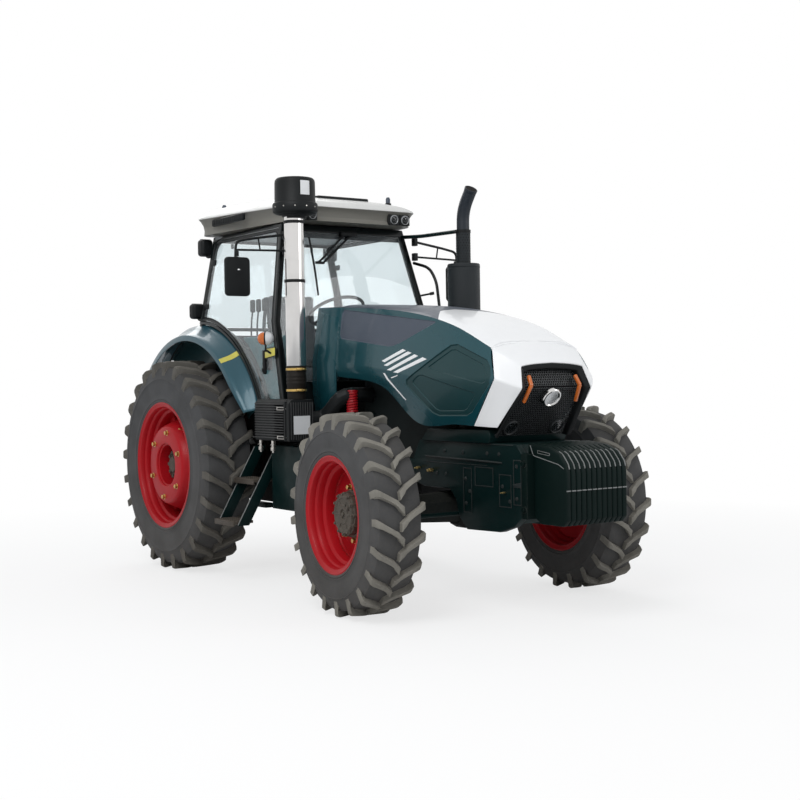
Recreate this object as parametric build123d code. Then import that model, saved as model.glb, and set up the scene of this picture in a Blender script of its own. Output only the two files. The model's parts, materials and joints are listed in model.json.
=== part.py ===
"""Four-wheel-drive farm tractor with a glazed cab, as separate named pieces in millimetres.

Design frame: +X forward, +Y to the tractor's left, +Z up, the rear axle over X 0, the floor at Z 0.
The pieces are written out moved back by ORIGIN_X, so that the origin is on the floor under the middle of the machine.
"""
from build123d import *
from math import cos, sin, radians, sqrt, pi
import os

# ---------------------------------------------------------------- driving dimensions
WHEELBASE = 2750.0
REAR_TRACK_HALF = 820.0        # wheel centre from the middle of the tractor
FRONT_TRACK_HALF = 930.0
KINGPIN_Y = 700.0
STEER_REST = -5.0              # the front wheels stand turned a little to the right

REAR_END_X = -1050.0           # tips of the lower links
FRONT_END_X = 4000.0           # front faces of the ballast plates
ORIGIN_X = (REAR_END_X + FRONT_END_X) / 2

# Radius over the lugs, half width, lugs a side, lug height, rim flange radius, half width over the flanges
REAR_WHEEL = dict(tip=842.0, half=215.0, lugs=24, lug=40.0, flange=508.0, rim_half=205.0)
FRONT_WHEEL = dict(tip=650.0, half=172.0, lugs=21, lug=36.0, flange=381.0, rim_half=165.0)

PANEL = 12.0                   # bonnet and fender panels
GLASS = 6.0

ARCH_R = 1185.0                # door edge above the rear wheel
WAIST_Z = 1950.0               # the cab's sides are upright below this and lean in above
CAB_LOW, CAB_TOP = 1120.0, 2700.0
CAB_REAR, CAB_HALF = 30.0, 700.0

LINK_PIVOT = (-150.0, 480.0)   # lower links, x and z
ROCKER = (-230.0, 1130.0)      # lift arms' shaft
ROD_TOP = (-610.0, 1105.0)     # where the lift rods hang on the arms
TOP_LINK_PIVOT = (-385.0, 960.0)
TOP_LINK_END = (-635.0, 1440.0)
DRAWBAR_HOLE_X = -800.0
STACK = (1622.0, -703.0)       # middle of the air intake stack
TIE_X, TIE_Z = 200.0, 622.0    # steering rod, ahead of the kingpins

parts = {}


# ---------------------------------------------------------------- helpers
def block(x0, x1, y0, y1, z0, z1):
    """A plain box between two corners."""
    return Pos((x0 + x1) / 2, (y0 + y1) / 2, (z0 + z1) / 2) * Box(abs(x1 - x0), abs(y1 - y0), abs(z1 - z0))


def rod(start, end, radius):
    """A round bar from one point to another."""
    a, b = Vector(*start), Vector(*end)
    return extrude(Plane(origin=a, z_dir=b - a) * Circle(radius), (b - a).length)


def pin(start, end, radius, flats=12):
    """A bar with flats, for the round pieces that are small or out of sight."""
    a, b = Vector(*start), Vector(*end)
    return extrude(Plane(origin=a, z_dir=b - a) * RegularPolygon(radius, flats), (b - a).length)


def side_plate(points, y0, y1):
    """A plate with an outline of (x, z) points, from y0 to y1."""
    low, high = min(y0, y1), max(y0, y1)
    outline = Polyline([(x, low, z) for x, z in points], close=True)
    return extrude(make_face(outline), high - low, dir=(0, 1, 0))


def cross_plate(points, x0, x1):
    """A plate with an outline of (y, z) points, from x0 to x1."""
    outline = Polyline([(x0, y, z) for y, z in points], close=True)
    return extrude(make_face(outline), x1 - x0, dir=(1, 0, 0))


def floor_plate(points, z0, z1):
    """A plate with an outline of (x, y) points, from z0 to z1."""
    outline = Polyline([(x, y, z0) for x, y in points], close=True)
    return extrude(make_face(outline), z1 - z0, dir=(0, 0, 1))


def ring(points, sides):
    """A many-sided ring about the Y axis with a section of (radius at the corners, y) points."""
    turn = 2 * pi / sides
    reach = max(r for r, y in points)
    corners = [(reach * cos(turn * (i + 0.5)), 0, reach * sin(turn * (i + 0.5))) for i in range(sides)]
    start = (reach * cos(turn / 2), 0, 0)
    path = Polyline([start] + corners, close=True)
    section = Polyline([(r * cos(turn / 2), y, 0) for r, y in points], close=True)
    return sweep(make_face(section), path=path, transition=Transition.RIGHT)


def arch(points, lead, trail, flats):
    """Part of a many-sided ring about the Y axis, between two angles up from +X."""
    turn = radians(trail - lead) / flats
    reach = max(r for r, y in points)
    share = cos(turn / 2)
    corners = [(reach * cos(turn * (i + 0.5)), 0, reach * sin(turn * (i + 0.5))) for i in range(flats)]
    end = (reach * share * cos(turn * flats), 0, reach * share * sin(turn * flats))
    path = Polyline([(reach * share, 0, 0)] + corners + [end])
    section = Polyline([(r * share, y, 0) for r, y in points], close=True)
    return Rot(0, -lead, 0) * sweep(make_face(section), path=path, transition=Transition.RIGHT)


def upright(points, sides):
    """A many-sided lathe form about the Z axis with a section of (radius, z) points."""
    return Rot(90, 0, 0) * ring(points, sides)


def pipe(points, bend, radius, sides=8, steps=3):
    """A bar with flats along straight runs, each corner eased by short mitred pieces."""
    route = [Vector(*points[0])]
    for before, corner, after in zip(points, points[1:], points[2:]):
        p, back, on = Vector(*corner), Vector(*before) - Vector(*corner), Vector(*after) - Vector(*corner)
        a, b = p + back.normalized() * bend, p + on.normalized() * bend
        route += [a * (1 - t) ** 2 + p * (2 * t * (1 - t)) + b * t ** 2 for t in (i / steps for i in range(steps + 1))]
    route.append(Vector(*points[-1]))
    path = Polyline(*route)
    start = Plane(origin=route[0], z_dir=route[1] - route[0])
    return sweep(start * RegularPolygon(radius, sides), path=path, transition=Transition.RIGHT)


def flats(*corners):
    """One flat face through the corners, or a strip of smaller faces where they aren't in one plane."""
    points = [Vector(*p) for p in corners]
    normal = (points[1] - points[0]).cross(points[2] - points[0]).normalized()
    if all(abs(normal.dot(p - points[0])) < 0.01 for p in points[3:]):
        return [make_face(Polyline(points, close=True)).face()]
    if len(points) == 4:
        return flats(*points[:3]) + flats(points[0], *points[2:])
    half = len(points) // 2
    return [face for i in range(half - 1) for face in flats(points[i], points[i + 1], points[-2 - i], points[-1 - i])]


def faceted(loops):
    """A closed solid through loops of equal numbers of points."""
    faces = flats(*loops[0]) + flats(*loops[-1])
    for a, b in zip(loops, loops[1:]):
        for i in range(len(a)):
            j = (i + 1) % len(a)
            faces += flats(a[i], a[j], b[j], b[i])
    return Solid(Shell(faces))


def mirrored(shape):
    """The same piece on the other side of the tractor."""
    return mirror(shape, Plane.XZ)


def both(shape):
    return [shape, mirrored(shape)]


def keep(name, *shapes):
    """Stores the solids of one node, moved to the part's own origin."""
    solids = []
    for shape in shapes:
        solids += list(shape.solids())
    parts[name] = Pos(-ORIGIN_X, 0, 0) * Compound(children=[Solid(s.wrapped) for s in solids])


# ---------------------------------------------------------------- wheels
def lug_bar(w, side):
    """One tread bar at the top of the tyre, slanting from the shoulder to past the middle."""
    half = w["half"]
    run, wide = half * 0.80, half * 0.24
    base, tip = w["tip"] - w["lug"] * 2.8, sqrt(w["tip"] ** 2 - (run / 2) ** 2)
    # columns: along the tread, share of the half width
    outline = [(-run / 2, 0.95), (-run / 2 + wide * 1.2, 0.95), (run / 2 + wide * 0.4, -0.06), (run / 2 - wide * 0.6, -0.06)]
    points = [(x, side * share * half, base) for x, share in outline]
    return extrude(make_face(Polyline(points, close=True)), tip - base, dir=(0, 0, 1))


def tyre(w):
    """Carcass with a flat for each pair of bars, seated on the rim, and a ring of bars on each side of the tread."""
    crown, half, f, h = w["tip"] - w["lug"], w["half"], w["flange"], w["rim_half"]
    left = [(f - 33, -h + 13), ((crown + f) / 2 + 50, -half), (crown - 4, -half * 0.80)]
    section = left + [(r, -y) for r, y in reversed(left)]
    pitch = 360.0 / w["lugs"]
    bars = [Rot(0, pitch * (i + (0.5 if side > 0 else 0.0)), 0) * lug_bar(w, side)
            for side in (-1, 1) for i in range(w["lugs"])]
    return ring(section, w["lugs"]) + bars


def rim(w):
    """Flanges, bead seats and drop centre of a rim, without its disc."""
    # columns: below the flange's edge, in from the flange's face
    tyre_side = [(0, 6), (33, 12), (76, 98)]
    wheel_side = [(0, 0), (40, 2), (86, 104)]
    f, h = w["flange"], w["rim_half"]
    left = [(f - d, -h + s) for d, s in tyre_side]
    right = [(f - d, h - s) for d, s in reversed(tyre_side)]
    back = [(f - d, h - s) for d, s in wheel_side] + [(f - d, -h + s) for d, s in reversed(wheel_side)]
    return ring(left + right + back, w["lugs"])


def rear_rim(w):
    """Rear rim with a disc dished outwards, and the axle's flange in the middle of it."""
    h, well = w["rim_half"], w["flange"] - 80
    dish = ring([(well, -28), (well, -10), (296, h - 14), (168, h - 14), (168, h - 30), (286, h - 30)], w["lugs"])
    hub = ring([(20, -60), (104, -60), (104, 70), (174, h - 34), (174, h - 18), (20, h - 60)], 12)
    return rim(w) + [dish, hub]


def front_rim(w):
    """Front rim with a flat disc set deep inside, and the planetary hub that stands out of it."""
    h, well = w["rim_half"], w["flange"] - 80
    disc = ring([(60, -34), (well, -34), (well, -18), (190, 0), (60, 0)], w["lugs"])
    hub = ring([(20, -30), (139, -30), (139, h - 92), (126, h - 80), (20, h - 80)], 16)
    return rim(w) + [disc, hub]


def steered(shape, side):
    """Turns a front piece about its kingpin to where the wheels stand."""
    pivot = Pos(WHEELBASE, side * KINGPIN_Y, 0)
    return pivot * Rot(0, 0, STEER_REST) * pivot.inverse() * shape


def wheels():
    rear_set = {"tyre": tyre(REAR_WHEEL), "rim": rear_rim(REAR_WHEEL)}
    front_set = {"tyre": tyre(FRONT_WHEEL), "rim": front_rim(FRONT_WHEEL)}
    for name, side in (("left", 1), ("right", -1)):
        rear = Pos(0, side * REAR_TRACK_HALF, REAR_WHEEL["tip"])
        front = Pos(WHEELBASE, side * FRONT_TRACK_HALF, FRONT_WHEEL["tip"])
        for piece, shape in rear_set.items():
            keep(f"rear_{piece}_{name}", rear * (shape if side > 0 else mirrored(shape)))
        for piece, shape in front_set.items():
            keep(f"front_{piece}_{name}", steered(front * (shape if side > 0 else mirrored(shape)), side))


# ---------------------------------------------------------------- driveline and frame
def driveline():
    z_rear, z_front = REAR_WHEEL["tip"], FRONT_WHEEL["tip"]
    engine = block(1792, 2900, -228, 228, 820, 1560)
    keep("engine_block", engine)
    keep("radiator", block(3010, 3090, -290, 290, 1180, 1560))
    bell = cross_plate([(-230, 700), (230, 700), (230, 1120), (150, 1200), (-150, 1200), (-230, 1120)], 1560, 1790)
    body = cross_plate([(-180, 620), (180, 620), (200, 1040), (-200, 1040)], 430, 1560)
    final = cross_plate([(-240, 520), (240, 520), (240, 1040), (160, 1075), (-160, 1075), (-240, 1040)], -330, 430)
    transfer = cross_plate([(-150, 500), (150, 500), (150, 620), (-150, 620)], 900, 1250)
    keep("gearbox_housing", bell + [body, final, transfer])
    shaft_end = REAR_TRACK_HALF - 61
    trumpet = ring([(20, 241), (205, 241), (205, 300), (125, 360), (100, shaft_end), (20, shaft_end)], 12)
    keep("rear_axle", *both(Pos(0, 0, z_rear) * trumpet))
    rocker_case = cross_plate([(-200, 1076), (200, 1076), (170, 1190), (-170, 1190)], -330, 120)
    keep("rocker_case", rocker_case - pin((ROCKER[0], -250, ROCKER[1]), (ROCKER[0], 250, ROCKER[1]), 42.5))

    cheek = side_plate([(1790, 830), (2440, 830), (2600, 785), (2900, 785), (2960, 720), (3005, 600), (3080, 530), (3420, 540),
                        (3560, 585), (3640, 650), (3640, 1040), (3590, 1095), (2560, 1095), (2480, 960), (1790, 960)], 235, 290)
    support = side_plate([(3010, 560), (3560, 600), (3640, 660), (3640, 1040), (3590, 1095), (3010, 1095)], -234, 234)
    saddle = block(2600, 2900, -234, 234, 775, 815)
    tray = side_plate([(2620, 1095), (3350, 1095), (3370, 1140), (3350, 1180), (2700, 1180)], -318, 318)
    keep("front_frame", support, *both(cheek), saddle, tray - block(2600, 2903, -235, 235, 1000, 1300))

    carrier = side_plate([(3642, 640), (3700, 640), (3700, 1040), (3642, 1040)], -300, 300)
    plate = [(3702, 650), (3760, 615), (3960, 615), (FRONT_END_X, 655), (FRONT_END_X, 930), (3985, 990), (3930, 1050),
             (3830, 1088), (3650, 1105), (3650, 1042), (3702, 1042)]
    pitch, thick = 41.4, 38.0
    plates = [side_plate(plate, -246 + pitch * i, -246 + pitch * i + thick) for i in range(12)]
    keep("front_weights", carrier, *plates)

    beam = ring([(30, -560), (90, -560), (112, -200), (112, 200), (90, 560), (30, 560)], 8)
    bowl = Pos(0, 0, -20) * ring([(30, -150), (110, -150), (142, -90), (142, 90), (110, 150), (30, 150)], 8)
    pivot = block(2640, 2860, -80, 80, 650, 770)
    yokes = []
    for z in (532, 736):
        yokes += both(block(2690, 2810, 540, 740, z, z + 32))
    cheeks = both(block(2690, 2810, 540, 600, 532, 768))
    tie_x = WHEELBASE + TIE_X
    barrel = pin((tie_x, -190, TIE_Z), (tie_x, 190, TIE_Z), 36) - pin((tie_x, -200, TIE_Z), (tie_x, 200, TIE_Z), 15)
    lug = block(WHEELBASE + 90, tie_x - 25, -60, 60, 600, 644)
    keep("front_axle", (Pos(WHEELBASE, 0, z_front) * (beam + bowl)) + [pivot] + yokes + cheeks + [lug, barrel])
    shift = TIE_X * sin(radians(STEER_REST))
    bar = pin((tie_x, -KINGPIN_Y + 20, TIE_Z), (tie_x, KINGPIN_Y - 20, TIE_Z), 14)
    eyes = both(pin((tie_x, KINGPIN_Y, TIE_Z - 12), (tie_x, KINGPIN_Y, TIE_Z + 12), 26))
    keep("steering_rod", Pos(0, shift, 0) * (bar + eyes))
    for name, side in (("left", 1), ("right", -1)):
        column = pin((WHEELBASE, side * KINGPIN_Y, 566), (WHEELBASE, side * KINGPIN_Y, 734), 58)
        neck = pin((WHEELBASE, side * KINGPIN_Y, z_front), (WHEELBASE, side * (FRONT_TRACK_HALF - 36), z_front), 78)
        arm = block(WHEELBASE, WHEELBASE + TIE_X + 26, side * (KINGPIN_Y - 24), side * (KINGPIN_Y + 24), 576, 602)
        keep(f"knuckle_{name}", steered(column + [neck, arm], side))
    keep("drive_shaft", pin((1252, 0, 560), (2600, 0, 620), 42))


# ---------------------------------------------------------------- bonnet
# columns: crown (x, z), then crease, belt and sill as (x, y, z)
BONNET = [
    ((1704, 2062), (1704, 364, 2036), (1704, 420, 1640), (1704, 408, 1535)),
    ((2280, 2024), (2280, 366, 1992), (2280, 436, 1590), (2280, 412, 1465)),
    ((2720, 1960), (2720, 366, 1932), (2720, 442, 1530), (2700, 396, 1215)),
    ((3090, 1870), (3090, 362, 1840), (3110, 436, 1500), (3080, 376, 1212)),
    ((3430, 1738), (3430, 348, 1694), (3524, 406, 1502), (3262, 366, 1205)),
]
# the front mask's band, outer edge then inner edge, from the middle of the top down to the tip of the right arm
MASK = [
    ((3436, 0, 1738), (3600, 0, 1600)),
    ((3436, -346, 1694), (3604, -256, 1577)),
    ((3530, -406, 1502), (3650, -286, 1440)),
    ((3268, -366, 1205), (3440, -318, 1196)),
]


def bonnet():
    crown_share = 0.55
    top_loops = []
    for (x, crown), crease, belt, sill in BONNET:
        outer = [(x, crease[1], crease[2]), (x, crease[1] * crown_share, crown - 5), (x, -crease[1] * crown_share, crown - 5),
                 (x, -crease[1], crease[2])]
        top_loops.append(outer + [(px, py, pz - PANEL) for px, py, pz in reversed(outer)])
    keep("hood_top", faceted(top_loops))
    side_loops = []
    for crown, top, *outer in BONNET:
        outer = [(top[0], top[1], top[2] - PANEL - 2)] + outer
        side_loops.append(outer + [(px, py - PANEL, pz) for px, py, pz in reversed(outer)])
    panel = faceted(side_loops)
    # the six-cornered vent pressed into each side, as (x, z)
    vent = side_plate([(2590, 1487), (3110, 1738), (3468, 1607), (3500, 1487), (3250, 1268), (2905, 1262)], 300, 500)
    side = (panel - vent) + ((Pos(0, -8, 0) * panel) & vent)
    keep("hood_side_left", side)
    keep("hood_side_right", mirrored(side))
    right = [mask_loop(outer, inner) for outer, inner in MASK]
    left = [[(x, -y, z) for x, y, z in loop] for loop in right[1:]]
    keep("hood_nose", faceted(right[::-1] + left))
    grille()
    # the fixed cowl between the bonnet and the windscreen
    (x, crown), crease, belt, sill = BONNET[0]
    rows = [(1420, crown + 12, crease[1] + 24, crease[2] + 10, belt[1] + 30, belt[2]), (x - 6, crown, crease[1], crease[2], belt[1], belt[2])]
    outer, inner = ([cowl_loop(row, inset) for row in rows] for inset in (0, PANEL))
    keep("cowl", (faceted(outer) - faceted(inner)) - cab_block(-6))


def mask_loop(outer, inner):
    """Four corners of the mask's band: its face edges and the same edges set back into the bonnet."""
    (x0, y0, z0), (x1, y1, z1) = outer, inner
    return [outer, inner, (x1 - 14, y1 * 0.965, z1 - 4), (x0, y0 * 0.965, z0 - 14)]


def cowl_loop(row, inset):
    x, crown, crease_y, crease_z, belt_y, belt_z = row
    low = 1240
    half = [(crease_y - inset, crease_z - inset), (belt_y - inset, belt_z), (belt_y - inset, low - inset)]
    return [(x + (inset and (2 if x > 1500 else -2)), y, z) for y, z in
            [(0, crown - inset)] + half + [(-y, z) for y, z in reversed(half)]]


def grille():
    # columns: x of the face, half width, z
    face = [(3560, 232, 1560), (3602, 256, 1438), (3414, 288, 1154)]
    rows = [[(x, -y, z), (x, y, z), (x - 16, y, z), (x - 16, -y, z)] for x, y, z in face]
    lamps = both(Pos(3425, 205, 1200) * Rot(0, 90 + 32, 0) * extrude(RegularPolygon(46, 12), 36))
    badge = Pos(3566, 0, 1392) * Rot(0, 90 + 32, 0) * extrude(RegularPolygon(46, 16), 24)
    bezel = []
    right = [(3586, 0, 1580), (3588, -240, 1558), (3630, -264, 1438), (3428, -296, 1150)]
    for x, y, z in right:
        lean = min(max(z - 1440, -30), 30)
        bezel.append([(x, y, z), (x - 4, y * 0.90, z - lean * 0.7), (x - 44, y * 0.90, z - lean * 0.7), (x - 44, y, z)])
    left = [[(x, -y, z) for x, y, z in loop] for loop in bezel[1:]]
    frame = faceted(bezel[::-1] + left)
    keep("grille", faceted(rows) + frame + lamps + [badge])


# ---------------------------------------------------------------- cab
def cab_ring(z, inset):
    """The cab's plan at one height, drawn in by inset."""
    half = CAB_HALF - max(z - WAIST_Z, 0) * 0.20 - inset
    front = 1305 + (2000 - z) * 0.19 - inset
    return make_face(Polyline([(CAB_REAR + inset, -half, z), (front, -half, z), (front, half, z),
                               (CAB_REAR + inset, half, z)], close=True))


def cab_block(inset, low=CAB_LOW, high=CAB_TOP):
    """The cab's outer form, drawn in by inset on its four sides."""
    lower = loft([cab_ring(low, inset), cab_ring(WAIST_Z, inset)], ruled=True)
    return lower + loft([cab_ring(WAIST_Z, inset), cab_ring(high, inset)], ruled=True)


def wheel_space(radius, half=999):
    """A many-sided drum over the rear axle, to cut arches with."""
    axle_z = REAR_WHEEL["tip"]
    return pin((0, -half, axle_z), (0, half, axle_z), radius, 48)


def door_cut(gap, side):
    """The space of one doorway, drawn in by gap: an arch over the rear wheel takes its lower rear corner."""
    top, bottom, rear = 2625 - gap, CAB_LOW + 45 + gap, CAB_REAR + 62 + gap
    front_top, front_knee = (1235 + (2000 - z) * 0.19 - gap for z in (top, 1640))
    outline = [(rear, bottom), (1165 - gap, bottom), (front_knee, 1640), (front_top, top), (rear, top)]
    return side_plate(outline, 0, side * 900) - wheel_space(ARCH_R + gap)


WINDSCREEN = [(600, 1520), (606, 1950), (478, 2612)]
REAR_PANE = [(560, 1950), (470, 2612)]


def end_cut(half_outline, gap, x0, x1):
    """A symmetrical opening through the front or the back of the cab, drawn in by gap."""
    low, high = half_outline[0][1] + gap, half_outline[-1][1] - gap
    side = [(y - gap, min(max(z, low), high)) for y, z in half_outline]
    return cross_plate(side + [(-y, z) for y, z in reversed(side)], x0, x1)


def cab():
    skin = 60
    shell = cab_block(0) - cab_block(skin, CAB_LOW - 1, CAB_TOP - 60)
    for side in (-1, 1):
        shell -= door_cut(0, side)
    shell -= wheel_space(ARCH_R - 45)
    shell -= end_cut(WINDSCREEN, 0, 900, 1700)
    shell -= end_cut(REAR_PANE, 0, -100, 200)
    shell -= block(-100, 200, -560, 560, CAB_LOW - 5, 1890)
    keep("cab_frame", shell)

    pane = cab_block(20) - cab_block(20 + GLASS, CAB_LOW - 1, CAB_TOP + 1)
    keep("windscreen", pane & end_cut(WINDSCREEN, 2, 900, 1700))
    keep("rear_window", pane & end_cut(REAR_PANE, 6, -100, 200))
    leaf = cab_block(2) - cab_block(44, CAB_LOW - 1, CAB_TOP + 1)
    for name, side in (("left", 1), ("right", -1)):
        glass = pane & door_cut(50, side)
        keep(f"door_frame_{name}", (leaf & door_cut(6, side)) - door_cut(50, side))
        keep(f"door_glass_{name}", glass)
    tub = block(160, 1372, -560, 560, 1076, 1118)
    bulkhead = block(96, 158, -560, 560, 1192, 1885)
    keep("cab_floor", tub - wheel_space(300, 900), bulkhead)
    roof()

    keep("seat", block(330, 800, -250, 250, 1500, 1600), side_plate(
        [(330, 1604), (440, 1604), (350, 2250), (250, 2240)], -240, 240), block(420, 700, -160, 160, 1119, 1498))
    dash = side_plate([(1180, 1119), (1330, 1119), (1330, 1400), (1240, 1700), (1150, 1660), (1180, 1400)], -150, 150)
    column = pin((1220, 0, 1600), (1085, 0, 1870), 40, 8)
    hoop = ring([(184, -12), (212, -12), (212, 12), (184, 12)], 20)
    spokes = block(-188, 188, -6, 6, -20, 20) + block(-20, 20, -6, 6, -188, 188)
    tilt = Plane(origin=(1078, 0, 1884), x_dir=(0.894, 0, 0.447), z_dir=(0, 1, 0))
    keep("steering_column", dash + column + tilt * Rot(90, 0, 0) * (hoop + spokes))
    keep("side_console", block(260, 800, -520, -330, 1119, 1780))


# Right half of the roof, from the rear to the front; columns: two corners of the rear end and two of the front end
ROOF = [
    ((-20, 600, 2702), (60, 660, 2702), (1290, 540, 2702), (1370, 460, 2702)),
    ((-40, 610, 2838), (30, 698, 2826), (1330, 568, 2772), (1392, 480, 2766)),
    ((-10, 500, 2918), (80, 575, 2924), (1230, 500, 2872), (1310, 410, 2862)),
    ((220, 260, 2974), (280, 320, 2970), (1040, 260, 2924), (1100, 200, 2920)),
]


def roof():
    loops = []
    for row in ROOF:
        loops.append(list(row) + [(x, -y, z) for x, y, z in reversed(row)])
    x0, z0, x1, z1 = ROOF[-1][0][0], ROOF[-1][0][2], ROOF[-1][3][0], ROOF[-1][3][2]
    loops[-1] = [(x, y, z0 + (z1 - z0) * (x - x0) / (x1 - x0)) for x, y, z in loops[-1]]
    keep("cab_roof", faceted(loops))


# ---------------------------------------------------------------- fenders, steps, tanks
def fender():
    """A stepped arch over the inner half of the left tyre, from low in front to behind the top."""
    outer = [(1000, 822), (1048, 820), (1082, 742), (1130, 684), (1136, 602)]
    inner = [(1124, 602), (1118, 676), (1070, 732), (1036, 808), (1000, 808)]
    return Pos(0, 0, REAR_WHEEL["tip"]) * arch(outer + inner, 22.5, 135, 10)


def ladder():
    """Two treads between slanting cheeks, on the left."""
    low, high = 440, 1010
    lean = (925 - 600) / (high - low)
    outline = [(870, low), (960, low), (960 - lean * (high - low), high), (870 - lean * (high - low), high)]
    treads = [block(860, 1170, y - 95, y + 75, z, z + 26) for y, z in ((925, 455), (925 - lean * 300, 755))]
    return [cross_plate(outline, 850, 860), cross_plate(outline, 1170, 1180)] + treads


def air_cleaner():
    """A ribbed housing beside the cab's front corner, wider ahead of it."""
    right, top, low, pitch, ribs = -820, 1375, 1070, 34, 8
    rib_edge = []
    for i in range(ribs):
        z = low + 20 + pitch * i
        rib_edge += [(right + 9, z), (right, z + 5), (right, z + 17), (right + 9, z + 22)]
    sections = []
    for inner, x0, x1 in ((-706, 1185, 1475), (-610, 1475, 1700)):
        outline = [(inner, low), (right + 9, low)] + rib_edge + [(right + 9, top - 22), (right + 34, top), (inner, top)]
        sections.append(cross_plate(outline, x0, x1))
    return sections[0] + sections[1]


def sides():
    keep("fender_left", fender())
    keep("fender_right", mirrored(fender()))
    keep("steps", *(side for piece in ladder() for side in both(piece)))
    keep("fuel_tank", side_plate([(1230, 560), (1640, 560), (1700, 640), (1700, 1040), (1190, 1040), (1190, 600)], 330, 700))
    keep("battery_box", block(1230, 1700, -700, -330, 560, 1030))
    keep("air_cleaner", air_cleaner())
    hose = [(1640, -609, 1230), (1640, -480, 1230), (1880, -480, 1400), (1880, -229, 1400)]
    keep("intake_hose", pipe(hose, 90, 55, 10))
    keep("intake_stack", rod((*STACK, 1377), (*STACK, 2738), 73))
    cap = [(20, 2740), (100, 2740), (148, 2766), (150, 2800), (140, 2804), (132, 2955), (20, 2955)]
    keep("pre_cleaner", Pos(*STACK, 0) * upright([(r, z) for r, z in cap], 20))
    muffler = pin((1925, 590, 1500), (1925, 590, 2370), 125, 16)
    stack = pipe([(1925, 590, 2360), (1925, 590, 2770), (2035, 590, 2925)], 90, 55, 12)
    inlet = pipe([(1925, 590, 1501), (1925, 590, 1380), (1925, 230, 1380)], 70, 50)
    keep("exhaust", muffler + [stack, inlet])
    glass = [(880, 2150), (910, 2120), (1050, 2120), (1080, 2150), (1080, 2390), (1050, 2420), (910, 2420), (880, 2390)]
    arm = pipe([(1262, 560, 2520), (1262, 860, 2560), (1262, 930, 2421)], 60, 11, 6, 2)
    stay = pin((1262, 582, 2445), (1262, 915, 2450), 9, 6)
    keep("mirrors", *both(cross_plate(glass, 1240, 1285)), *both(arm + stay))
    lamps = []
    for y, z in ((560, 2480), (640, 2080)):
        lamps += both(block(-70, 28, y - 70, y + 30, z - 45, z + 45))
    keep("work_lamps", *lamps)


# ---------------------------------------------------------------- rear hitch
def eye_plate(start, end, wide, y0, y1, hole):
    """A flat link between two (x, z) points with a hole at its outer end."""
    dx, dz = end[0] - start[0], end[1] - start[1]
    length = sqrt(dx ** 2 + dz ** 2)
    nx, nz = -dz / length * wide / 2, dx / length * wide / 2
    strap = side_plate([(start[0] + nx, start[1] + nz), (end[0] + nx, end[1] + nz), (end[0] - nx, end[1] - nz),
                        (start[0] - nx, start[1] - nz)], y0, y1)
    knob = pin((end[0], y0, end[1]), (end[0], y1, end[1]), wide * 0.62)
    root = pin((start[0], y0, start[1]), (start[0], y1, start[1]), wide * 0.62)
    return strap + [knob, root] - rod((end[0], y0 - 5, end[1]), (end[0], y1 + 5, end[1]), hole)


def hitch():
    tip = (REAR_END_X + 46, 500)
    keep("lower_links", *both(eye_plate(LINK_PIVOT, tip, 74, 390, 425, 14.35)))
    pins = both(pin((LINK_PIVOT[0], 241, LINK_PIVOT[1]), (LINK_PIVOT[0], 385, LINK_PIVOT[1]), 30))
    keep("link_pins", *pins)
    arms = both(side_plate([(ROCKER[0], ROCKER[1] + 40), (ROD_TOP[0] - 25, ROD_TOP[1] + 32), (ROD_TOP[0] - 40, ROD_TOP[1]),
                            (ROD_TOP[0] - 25, ROD_TOP[1] - 32), (ROCKER[0], ROCKER[1] - 40)], 262, 296))
    shaft = pin((ROCKER[0], -296, ROCKER[1]), (ROCKER[0], 296, ROCKER[1]), 40)
    hole = pin((ROD_TOP[0], -300, ROD_TOP[1]), (ROD_TOP[0], 300, ROD_TOP[1]), 17)
    keep("lift_arms", shaft + arms - hole)
    rods = []
    for side in (-1, 1):
        hanger = pin((ROD_TOP[0], side * 350, ROD_TOP[1]), (ROD_TOP[0], side * 350, 530), 20, 8)
        rods.append(hanger + pin((ROD_TOP[0], side * 262, ROD_TOP[1]), (ROD_TOP[0], side * 372, ROD_TOP[1]), 15))
    keep("lift_rods", *rods)
    keep("top_link", eye_plate(TOP_LINK_PIVOT, TOP_LINK_END, 46, -25, 25, 12.85))
    clevis = both(side_plate([(-331, 900), (-420, 920), (-420, 1000), (-331, 1040)], 30, 50))
    keep("top_link_bracket", *clevis)
    hole = rod((DRAWBAR_HOLE_X, 0, 400), (DRAWBAR_HOLE_X, 0, 480), 16)
    keep("drawbar", block(DRAWBAR_HOLE_X - 40, -100, -40, 40, 420, 460) - hole)
    keep("pto_shaft", rod((-331, 0, 650), (-450, 0, 650), 17.5))


def main():
    driveline()
    wheels()
    bonnet()
    cab()
    sides()
    hitch()
    os.makedirs("parts", exist_ok=True)
    for name, shape in parts.items():
        export_step(shape, f"parts/{name}.step")
        print(name, len(shape.solids()), round(shape.volume / 1e6, 2))


main()
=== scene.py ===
"""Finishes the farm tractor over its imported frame: panels, treaded tyres, glass and fittings, in metres."""
import json
from math import atan2, cos, sin, pi, radians, sqrt

import bmesh
import bpy
from mathutils import Matrix, Vector

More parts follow.
